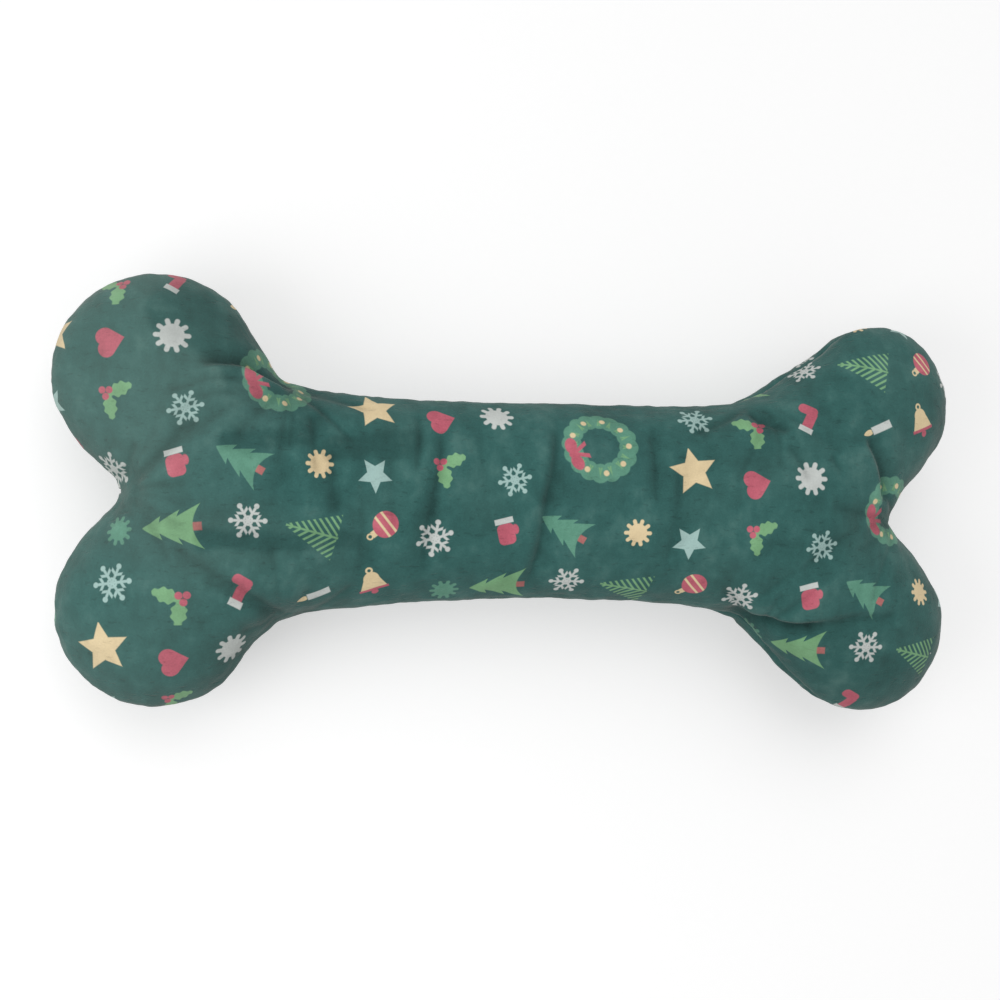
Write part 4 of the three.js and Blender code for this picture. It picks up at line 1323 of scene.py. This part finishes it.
def printed_plush(name, print_group, nap_group, shift, mirrored):
    """The outer face of a panel: the print and the pile on its flat cloth map."""
    material, tree, shader = material_of(
        name, Sheen_Weight=0.3, Sheen_Roughness=0.45, Sheen_Tint=PILE_SHEEN, Specular_IOR_Level=0.12)
    cloth = add_node(tree, "ShaderNodeMapping", {
        "Vector": map_of(tree, "cloth"), "Location": (*shift, 0), "Scale": (-1 if mirrored else 1, 1, 1)})
    figures = placed_group(tree, print_group, Vector=cloth.outputs[0])
    marks = {
        mark.capitalize(): add_node(tree, "ShaderNodeAttribute", attribute_name=mark).outputs["Fac"]
        for mark in ("fold", "raised", "painted_light_and_patches", "stroked")
    }
    nap = placed_group(tree, nap_group, Vector=cloth.outputs[0], Color=figures.outputs[0], **marks)
    tree.links.new(nap.outputs["Color"], shader.inputs["Base Color"])
    tree.links.new(nap.outputs["Roughness"], shader.inputs["Roughness"])
    bumped(tree, shader, nap.outputs["Height"], 0.5, 0.0004)
    return material


def knitted_backing():
    """The bare side of the plush: fine knitted loops in a paler green."""
    material, tree, shader = material_of("Knitted backing", Roughness=0.9, Sheen_Weight=0.2)
    x, y, _ = split(tree, map_of(tree, "cloth"))
    rib = waves(x, KNIT_RIB)
    weave = rib * 0.5 + waves(y + abs(rib) * KNIT_LOOP, KNIT_COURSE) * 0.5
    # the backing's own paler green, with painted shade where the knit lies lower, between the loops
    colour = blended(tree, weave.eased(-1, 1), KNIT_DARK, KNIT_PALE)
    tree.links.new(colour, shader.inputs["Base Color"])
    bumped(tree, shader, weave.socket, 0.6, 0.0003)
    return material


def sewing_thread(name, colour):
    """Two-ply polyester, twisted."""
    material, tree, shader = material_of(name, Roughness=0.5, Sheen_Weight=0.3, Specular_IOR_Level=0.4)
    x, y, z = split(tree, object_place(tree))
    twist = waves(x + y * 0.6 + z * 1.3, THREAD_TWIST)
    # painted shade: the grooves between the plies are painted darker
    shade = blended(tree, twist.eased(-1, 1), darker(colour, 0.62), colour)
    tree.links.new(shade, shader.inputs["Base Color"])
    bumped(tree, shader, twist.socket, 0.5, 0.0002)
    return material


def fibre_filling():
    """Crimped white polyester fibre."""
    material, tree, shader = material_of(
        "Fibre filling", Roughness=0.85, Sheen_Weight=0.5, Subsurface_Weight=0.15, Subsurface_Scale=0.003)
    place = object_place(tree)
    warp = add_node(tree, "ShaderNodeTexNoise", {"Vector": place, "Scale": FIBRE_WARP})
    bent = add_node(tree, "ShaderNodeVectorMath", {
        0: warp.outputs["Color"], 1: (FIBRE_BEND,) * 3, 2: place}, operation="MULTIPLY_ADD")
    fibres = add_node(tree, "ShaderNodeTexVoronoi", {
        "Vector": bent.outputs[0], "Scale": FIBRE_SCALE}, feature="DISTANCE_TO_EDGE")
    strand = Amount(tree, fibres.outputs["Distance"]).eased(0, FIBRE_EDGE)
    clump = noise_of(tree, place, *CLUMP_NOISE).eased(*CLUMP_RANGE)
    colour = blended(tree, clump * 0.6 + strand * 0.25, FIBRE_PALE, FIBRE_DARK)
    tree.links.new(colour, shader.inputs["Base Color"])
    bumped(tree, shader, (clump - strand * 0.4).socket, 0.8, 0.0006)
    return material


def moulded_plastic(name, colour, milky, roughness):
    """Blown or moulded plastic, with faint flow marks and handling scuffs."""
    material, tree, shader = material_of(
        name, Subsurface_Weight=milky, Subsurface_Scale=0.002, Specular_IOR_Level=0.5, IOR=1.5)
    place = object_place(tree)
    flow = noise_of(tree, place, *FLOW_NOISE)
    scuff = noise_of(tree, place, *SCUFF_NOISE).eased(*SCUFF_RANGE)
    colour = blended(tree, flow.eased(*FLOW_RANGE), darker(colour, 0.92), colour)
    tree.links.new(colour, shader.inputs["Base Color"])
    tree.links.new((scuff * 0.16 + flow * 0.1 + roughness).socket, shader.inputs["Roughness"])
    bumped(tree, shader, (flow + scuff * 0.2).socket, 0.25, 0.0002)
    return material


# Stitches

# From the seam in to the row, and half the length of the gap that is closed by hand, in millimetres
STITCH_INSET = 3.9
HALF_CLOSING = 36.0
# In metres
STITCH_ARCH = 0.0003
THREAD_RISE = 0.0001


def stitch_tree():
    """Geometry nodes: short arched stitches laid one after another along a line, in metres."""
    tree = bpy.data.node_groups.new("Row of stitches", "GeometryNodeTree")
    sockets = {}
    for label, kind, value in (
        ("Path", "Geometry", None), ("Stitch length", "Float", 0.0026), ("Thread", "Float", 0.0007),
        ("Gap", "Float", 0.0004), ("Arch", "Float", STITCH_ARCH), ("Slant", "Float", 0.0),
        ("Wander", "Float", 0.05), ("Seed", "Int", 3), ("Material", "Material", None),
    ):
        socket = tree.interface.new_socket(name=label, in_out="INPUT", socket_type="NodeSocket" + kind)
        if value is not None:
            socket.default_value = value
        sockets[label] = socket.identifier
    tree.interface.new_socket(name="Stitches", in_out="OUTPUT", socket_type="NodeSocketGeometry")
    start, end = tree.nodes.new("NodeGroupInput"), tree.nodes.new("NodeGroupOutput")

    def made(kind, inputs=(), **settings):
        return add_node(tree, kind, inputs, **settings).outputs[0]

    given = {label: start.outputs[label] for label in sockets}
    length, gap, slant = (Amount(tree, given[label]) for label in ("Stitch length", "Gap", "Slant"))
    path = made("GeometryNodeMeshToCurve", {0: given["Path"]})
    spaced = made("GeometryNodeResampleCurve", {"Curve": path, "Length": length}, mode="LENGTH")
    half = (length - gap) * 0.5
    arch = made("GeometryNodeCurveQuadraticBezier", {
        "Resolution": 5,
        "Start": made("ShaderNodeCombineXYZ", {0: -half}),
        "Middle": made("ShaderNodeCombineXYZ", {2: given["Arch"]}),
        "End": made("ShaderNodeCombineXYZ", {0: half})})
    ring = made("GeometryNodeCurvePrimitiveCircle", {
        "Resolution": 6, "Radius": Amount(tree, given["Thread"]) * 0.5})
    stitch = made("GeometryNodeCurveToMesh", {"Curve": arch, "Profile Curve": ring, "Fill Caps": True})
    tangent = made("GeometryNodeInputTangent")
    along = made("FunctionNodeAlignRotationToVector", {"Vector": tangent}, axis="X")
    stray = add_node(tree, "FunctionNodeRandomValue", {"Seed": given["Seed"], 3: given["Wander"]},
                     data_type="FLOAT")
    lean = made("ShaderNodeCombineXYZ", {2: slant + Amount(tree, stray.outputs[1])})
    turned = made("FunctionNodeRotateRotation", {0: along, 1: lean}, rotation_space="LOCAL")
    laid = made("GeometryNodeInstanceOnPoints", {"Points": spaced, "Instance": stitch, "Rotation": turned})
    real = made("GeometryNodeRealizeInstances", {0: laid})
    smooth = made("GeometryNodeSetShadeSmooth", {0: real})
    dressed = made("GeometryNodeSetMaterial", {0: smooth, "Material": given["Material"]})
    tree.links.new(dressed, end.inputs[0])
    return tree, sockets


def row_of_stitches(name, path, material, **sizes):
    """A piece with one stitch at each step of a path in metres."""
    tree, sockets = stitch_tree()
    mesh = bpy.data.meshes.new(name)
    mesh.from_pydata([tuple(p) for p in path], [(i, i + 1) for i in range(len(path) - 1)], [])
    piece = piece_of(name, mesh)
    nodes = piece.modifiers.new("stitches", "NODES")
    nodes.node_group = tree
    for label, value in {**sizes, "Material": material}.items():
        nodes[sockets[label.replace("_", " ")]] = value
    settled(piece)
    bpy.data.node_groups.remove(tree)
    return piece


# Filling

# The piece of the CAD that each wad replaces, and the wad's seed
FILLING = {
    "fill_upper_left_knob": 21, "fill_upper_right_knob": 22, "fill_lower_right_knob": 23,
    "fill_lower_left_knob": 24, "fill_shank_front": 25, "fill_shank_back": 26,
}
# Lengths in metres; the clumps' sizes have their shares
FIBRE_GRAIN = 0.0022
FIBRE_CLEARANCE = 0.0006
WAD_EASE = 0.0007
WAD_UNEVENNESS = 0.0008
WAD_CLUMPS = ((0.012, 0.6), (0.005, 0.4))
WALLS_IN_A_CORNER = 4


def lining_of(*panels):
    """The inner faces of the finished panels, to measure from."""
    points, faces = [], []
    for panel in panels:
        mesh = panel.data
        shift = len(points)
        points += [v.co.copy() for v in mesh.vertices]
        faces += [[v + shift for v in f.vertices] for f in mesh.polygons if f.material_index == 1]
    return BVHTree.FromPolygons(points, faces)


def wad_of_fibre(node, seed, lining, material):
    """A lumpy wad where the CAD has its plain one, kept off the lining of the folded panels."""
    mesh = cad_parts[node].data.copy()
    mesh.name = node + "_fibre"
    shape = bmesh.new()
    shape.from_mesh(mesh)
    bmesh.ops.remove_doubles(shape, verts=shape.verts, dist=1e-6)
    shape.to_mesh(mesh)
    shape.free()
    piece = piece_of(node + "_fibre", mesh, material)
    grain = piece.modifiers.new("grain", "REMESH")
    grain.mode, grain.voxel_size, grain.use_smooth_shade = "VOXEL", FIBRE_GRAIN, True
    ease = piece.modifiers.new("ease", "SMOOTH")
    ease.factor, ease.iterations = 0.5, 4
    settled(piece)
    mesh = piece.data
    normals = [v.normal.copy() for v in mesh.vertices]
    for vertex, normal in zip(mesh.vertices, normals):
        place = vertex.co + Vector((seed, seed, seed))
        clump = sum(share * noise.noise(place / size) for size, share in WAD_CLUMPS)
        vertex.co -= normal * (WAD_EASE + WAD_UNEVENNESS * clump)
        for _ in range(WALLS_IN_A_CORNER):
            wall, way, _, _ = lining.find_nearest(vertex.co)
            room = (vertex.co - wall).dot(way)
            if room < FIBRE_CLEARANCE:
                vertex.co += way * (FIBRE_CLEARANCE - room)
    dress(mesh, material)
    return piece


# Operators

# The back is cut from another place of the same cloth, this far off, in metres
BACK_SHIFT = (0.047, 0.031)
GREEN_THREAD = srgb(38, 82, 74)
CLOSING_THREAD = srgb(44, 92, 82)
BULB_PLASTIC = srgb(232, 233, 228)
VALVE_PLASTIC = srgb(244, 244, 240)
REED_FILM = srgb(214, 196, 150)


class MakeCoverPanels(bpy.types.Operator):
    """Sew the two printed panels over the stuffed form"""
    bl_idname = "plush_toy.cover_panels"
    bl_label = "Cover panels"

    def execute(self, context):
        cover = context.scene.plush_toy_cover
        settings = context.scene.plush_toy_print
        figures, nap = festive_print(settings), plush_nap()
        backing = knitted_backing()
        form = stuffed_form(cover)
        for name, node, slot, folds, strokes, seed, shift, side in (
            ("cover_front", FRONT, "plush_front", FRONT_FOLDS, FRONT_STROKES, 1, (0.0, 0.0), 1),
            ("cover_back", BACK, "plush_back", BACK_FOLDS, BACK_STROKES, 2, BACK_SHIFT, -1),
        ):
            points, quads, cloth, marks = panel_surface(cover, form, folds, strokes, seed)
            points[:, 2] = SEAM_HEIGHT + side * (points[:, 2] + HALF_SEAM_GAP)
            if side < 0:
                quads = quads[:, ::-1]
                points[:, 2] = (points[:, 2] + np.hypot(points[:, 2], FLOOR_SOFTNESS)) / 2
            label = "Printed plush, " + slot.removeprefix("plush_")
            plush = printed_plush(label, figures, nap, shift, side < 0)
            panel = panel_piece(
                name, side, points, quads, cloth, marks, cover.cloth_thickness, (plush, backing))
            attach(panel, "root")
            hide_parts(node)
        return {"FINISHED"}


class MakeSeamThreads(bpy.types.Operator):
    """Run the machine's two threads round the seam allowance and finish the hand-sewn closing"""
    bl_idname = "plush_toy.seam_threads"
    bl_label = "Seam threads"

    def execute(self, context):
        green = sewing_thread("Green sewing thread", GREEN_THREAD)
        line = OUTLINE + inward_of(OUTLINE) * STITCH_INSET
        closed_by_hand = (line[:, 1] < 0) & (np.abs(line[:, 0]) < HALF_CLOSING)
        first = np.flatnonzero(closed_by_hand)
        start = first[-1] + 1
        line = np.roll(line, -start, axis=0)[:len(line) - len(first)]
        on_cloth = HALF_SEAM_GAP * MM + context.scene.plush_toy_cover.cloth_thickness + THREAD_RISE
        for node, side, seed in (("seam_needle_thread", 1, 5), ("seam_bobbin_thread", -1, 9)):
            path = np.column_stack([line * MM, np.full(len(line), SEAM_HEIGHT * MM + side * on_cloth)])
            thread = row_of_stitches(node + "_stitches", path, green, Seed=seed, Arch=side * STITCH_ARCH)
            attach(thread, "root")
            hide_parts(node)
        dress(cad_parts["closing_thread"].data, sewing_thread("Closing thread", CLOSING_THREAD))
        return {"FINISHED"}


class MakeFilling(bpy.types.Operator):
    """Pack the knobs and the shank with fibre"""
    bl_idname = "plush_toy.filling"
    bl_label = "Fibre filling"

    def execute(self, context):
        lining = lining_of(bpy.data.objects["cover_front"], bpy.data.objects["cover_back"])
        fibre = fibre_filling()
        for node, seed in FILLING.items():
            wad = wad_of_fibre(node, seed, lining, fibre)
            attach(wad, "root")
            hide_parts(node)
        return {"FINISHED"}


class FinishSqueaker(bpy.types.Operator):
    """Give the squeaker's bulb, valve and reed their plastics"""
    bl_idname = "plush_toy.squeaker"
    bl_label = "Squeaker"

    def execute(self, context):
        bulb = moulded_plastic("Milky bulb plastic", BULB_PLASTIC, 0.4, 0.32)
        valve = moulded_plastic("White valve plastic", VALVE_PLASTIC, 0.1, 0.26)
        reed = moulded_plastic("Clear amber reed film", REED_FILM, 0.05, 0.16)
        for node, material in (
            ("squeaker_bulb", bulb), ("squeaker_sleeve", valve), ("squeaker_reed_seat", valve),
            ("squeaker_reed_clamp", valve), ("squeaker_reed", reed),
        ):
            dress(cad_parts[node].data, material)
        return {"FINISHED"}


# The stage, in metres, with the lens and its sensor in millimetres; the camera and the window face AIM
AIM = Vector((-7.45, 0.72, 28.0)) * MM
HALF_FLOOR = 4.0
WINDOW_SIZE = 0.36
TO_DAYLIGHT = Vector((-0.05, 0.65, 1.0))
DAYLIGHT_SPREAD = math.radians(50)
LENS = 55.1
SENSOR = 36.0
# The floor's tone for the light that reaches the toy, its tones and grain as seen, and its glow
FLOOR_TONE = (0.5, 0.5, 0.5, 1)
PAPER_DARK = (0.69, 0.69, 0.69, 1)
PAPER_PALE = (0.71, 0.71, 0.71, 1)
PAPER_NOISE = (400, 2, 0.5)
FLOOR_GLOW = 0.42


def facing(way):
    """A turn that points a lamp back along the way to it."""
    return way.to_track_quat("Z", "Y").to_matrix().to_4x4()


class MakeStage(bpy.types.Operator):
    """Set the pale floor, the soft light and the camera"""
    bl_idname = "plush_toy.stage"
    bl_label = "Floor, light and camera"

    def execute(self, context):
        scene = context.scene
        stage = scene.plush_toy_stage
        corners = np.array([(-1, -1, 0), (1, -1, 0), (1, 1, 0), (-1, 1, 0)]) * HALF_FLOOR
        mesh = mesh_of("floor", corners, np.array([(0, 1, 2, 3)]))
        floor_material, tree, shader = material_of(
            "Pale floor", Roughness=0.9, Specular_IOR_Level=0.1, Emission_Color=(1, 1, 1, 1))
        seen = background_rays(tree)
        paper = noise_of(tree, object_place(tree), *PAPER_NOISE)
        tone = blended(tree, paper, PAPER_DARK, PAPER_PALE)
        tree.links.new(blended(tree, seen, FLOOR_TONE, tone), shader.inputs["Base Color"])
        tree.links.new((seen * FLOOR_GLOW).socket, shader.inputs["Emission Strength"])
        piece_of("floor", mesh, floor_material)

        world = bpy.data.worlds.new("Studio")
        world.use_nodes = True
        scene.world = world
        nodes, links = world.node_tree.nodes, world.node_tree.links
        fill = next(node for node in nodes if node.type == "BACKGROUND")
        strength = background_rays(world.node_tree) * (1 - stage.fill_light) + stage.fill_light
        links.new(strength.socket, fill.inputs["Strength"])
        fill.inputs["Color"].default_value = (1, 1, 1, 1)

        lamp = bpy.data.lights.new("Soft daylight", "SUN")
        lamp.energy, lamp.angle = stage.key_light, DAYLIGHT_SPREAD
        object_of("Soft daylight", lamp, facing(TO_DAYLIGHT))

        lamp = bpy.data.lights.new("Window", "AREA")
        lamp.energy, lamp.size = stage.window_light, WINDOW_SIZE
        place = Vector(stage.window_place)
        object_of("Window", lamp, Matrix.Translation(place) @ facing(place - AIM))

        tilt, roll = stage.camera_tilt, stage.camera_roll
        back = Vector((-math.sin(tilt), 0, math.cos(tilt)))
        level = Vector((math.cos(tilt), 0, math.sin(tilt)))
        right = level * math.cos(roll) + Vector((0, math.sin(roll), 0))
        up = level * -math.sin(roll) + Vector((0, math.cos(roll), 0))
        lens = bpy.data.cameras.new("Camera")
        lens.lens, lens.sensor_width = LENS, SENSOR
        turn = Matrix((right, up, back)).transposed().to_4x4()
        place = AIM + back * stage.camera_distance
        scene.camera = object_of("Camera", lens, Matrix.Translation(place) @ turn)
        scene.view_settings.view_transform = "Standard"
        return {"FINISHED"}


class PlushToyPanel(bpy.types.Panel):
    bl_idname = "VIEW3D_PT_plush_toy"
    bl_label = "Bone-shaped plush toy"
    bl_space_type = "VIEW_3D"
    bl_region_type = "UI"
    bl_category = "Plush toy"

    def draw(self, context):
        scene = context.scene
        for settings in (scene.plush_toy_cover, scene.plush_toy_print, scene.plush_toy_stage):
            for name in settings.__annotations__:
                self.layout.prop(settings, name)
        for operator in OPERATORS:
            self.layout.operator(operator.bl_idname)


OPERATORS = (MakeCoverPanels, MakeSeamThreads, MakeFilling, FinishSqueaker, MakeStage)
CLASSES = (PlushToyCoverSettings, PlushToyPrintSettings, PlushToyStageSettings, *OPERATORS, PlushToyPanel)


def register():
    """Adds the operators, the settings and the panel to Blender."""
    for kind in CLASSES:
        bpy.utils.register_class(kind)
    scene = bpy.types.Scene
    scene.plush_toy_cover = bpy.props.PointerProperty(type=PlushToyCoverSettings)
    scene.plush_toy_print = bpy.props.PointerProperty(type=PlushToyPrintSettings)
    scene.plush_toy_stage = bpy.props.PointerProperty(type=PlushToyStageSettings)


def unregister():
    scene = bpy.types.Scene
    del scene.plush_toy_cover, scene.plush_toy_print, scene.plush_toy_stage
    for kind in reversed(CLASSES):
        bpy.utils.unregister_class(kind)


def main():
    """Builds the toy and its stage."""
    register()
    bpy.ops.plush_toy.cover_panels()
    bpy.ops.plush_toy.seam_threads()
    bpy.ops.plush_toy.filling()
    bpy.ops.plush_toy.squeaker()
    bpy.ops.plush_toy.stage()


if __name__ == "__main__":
    main()
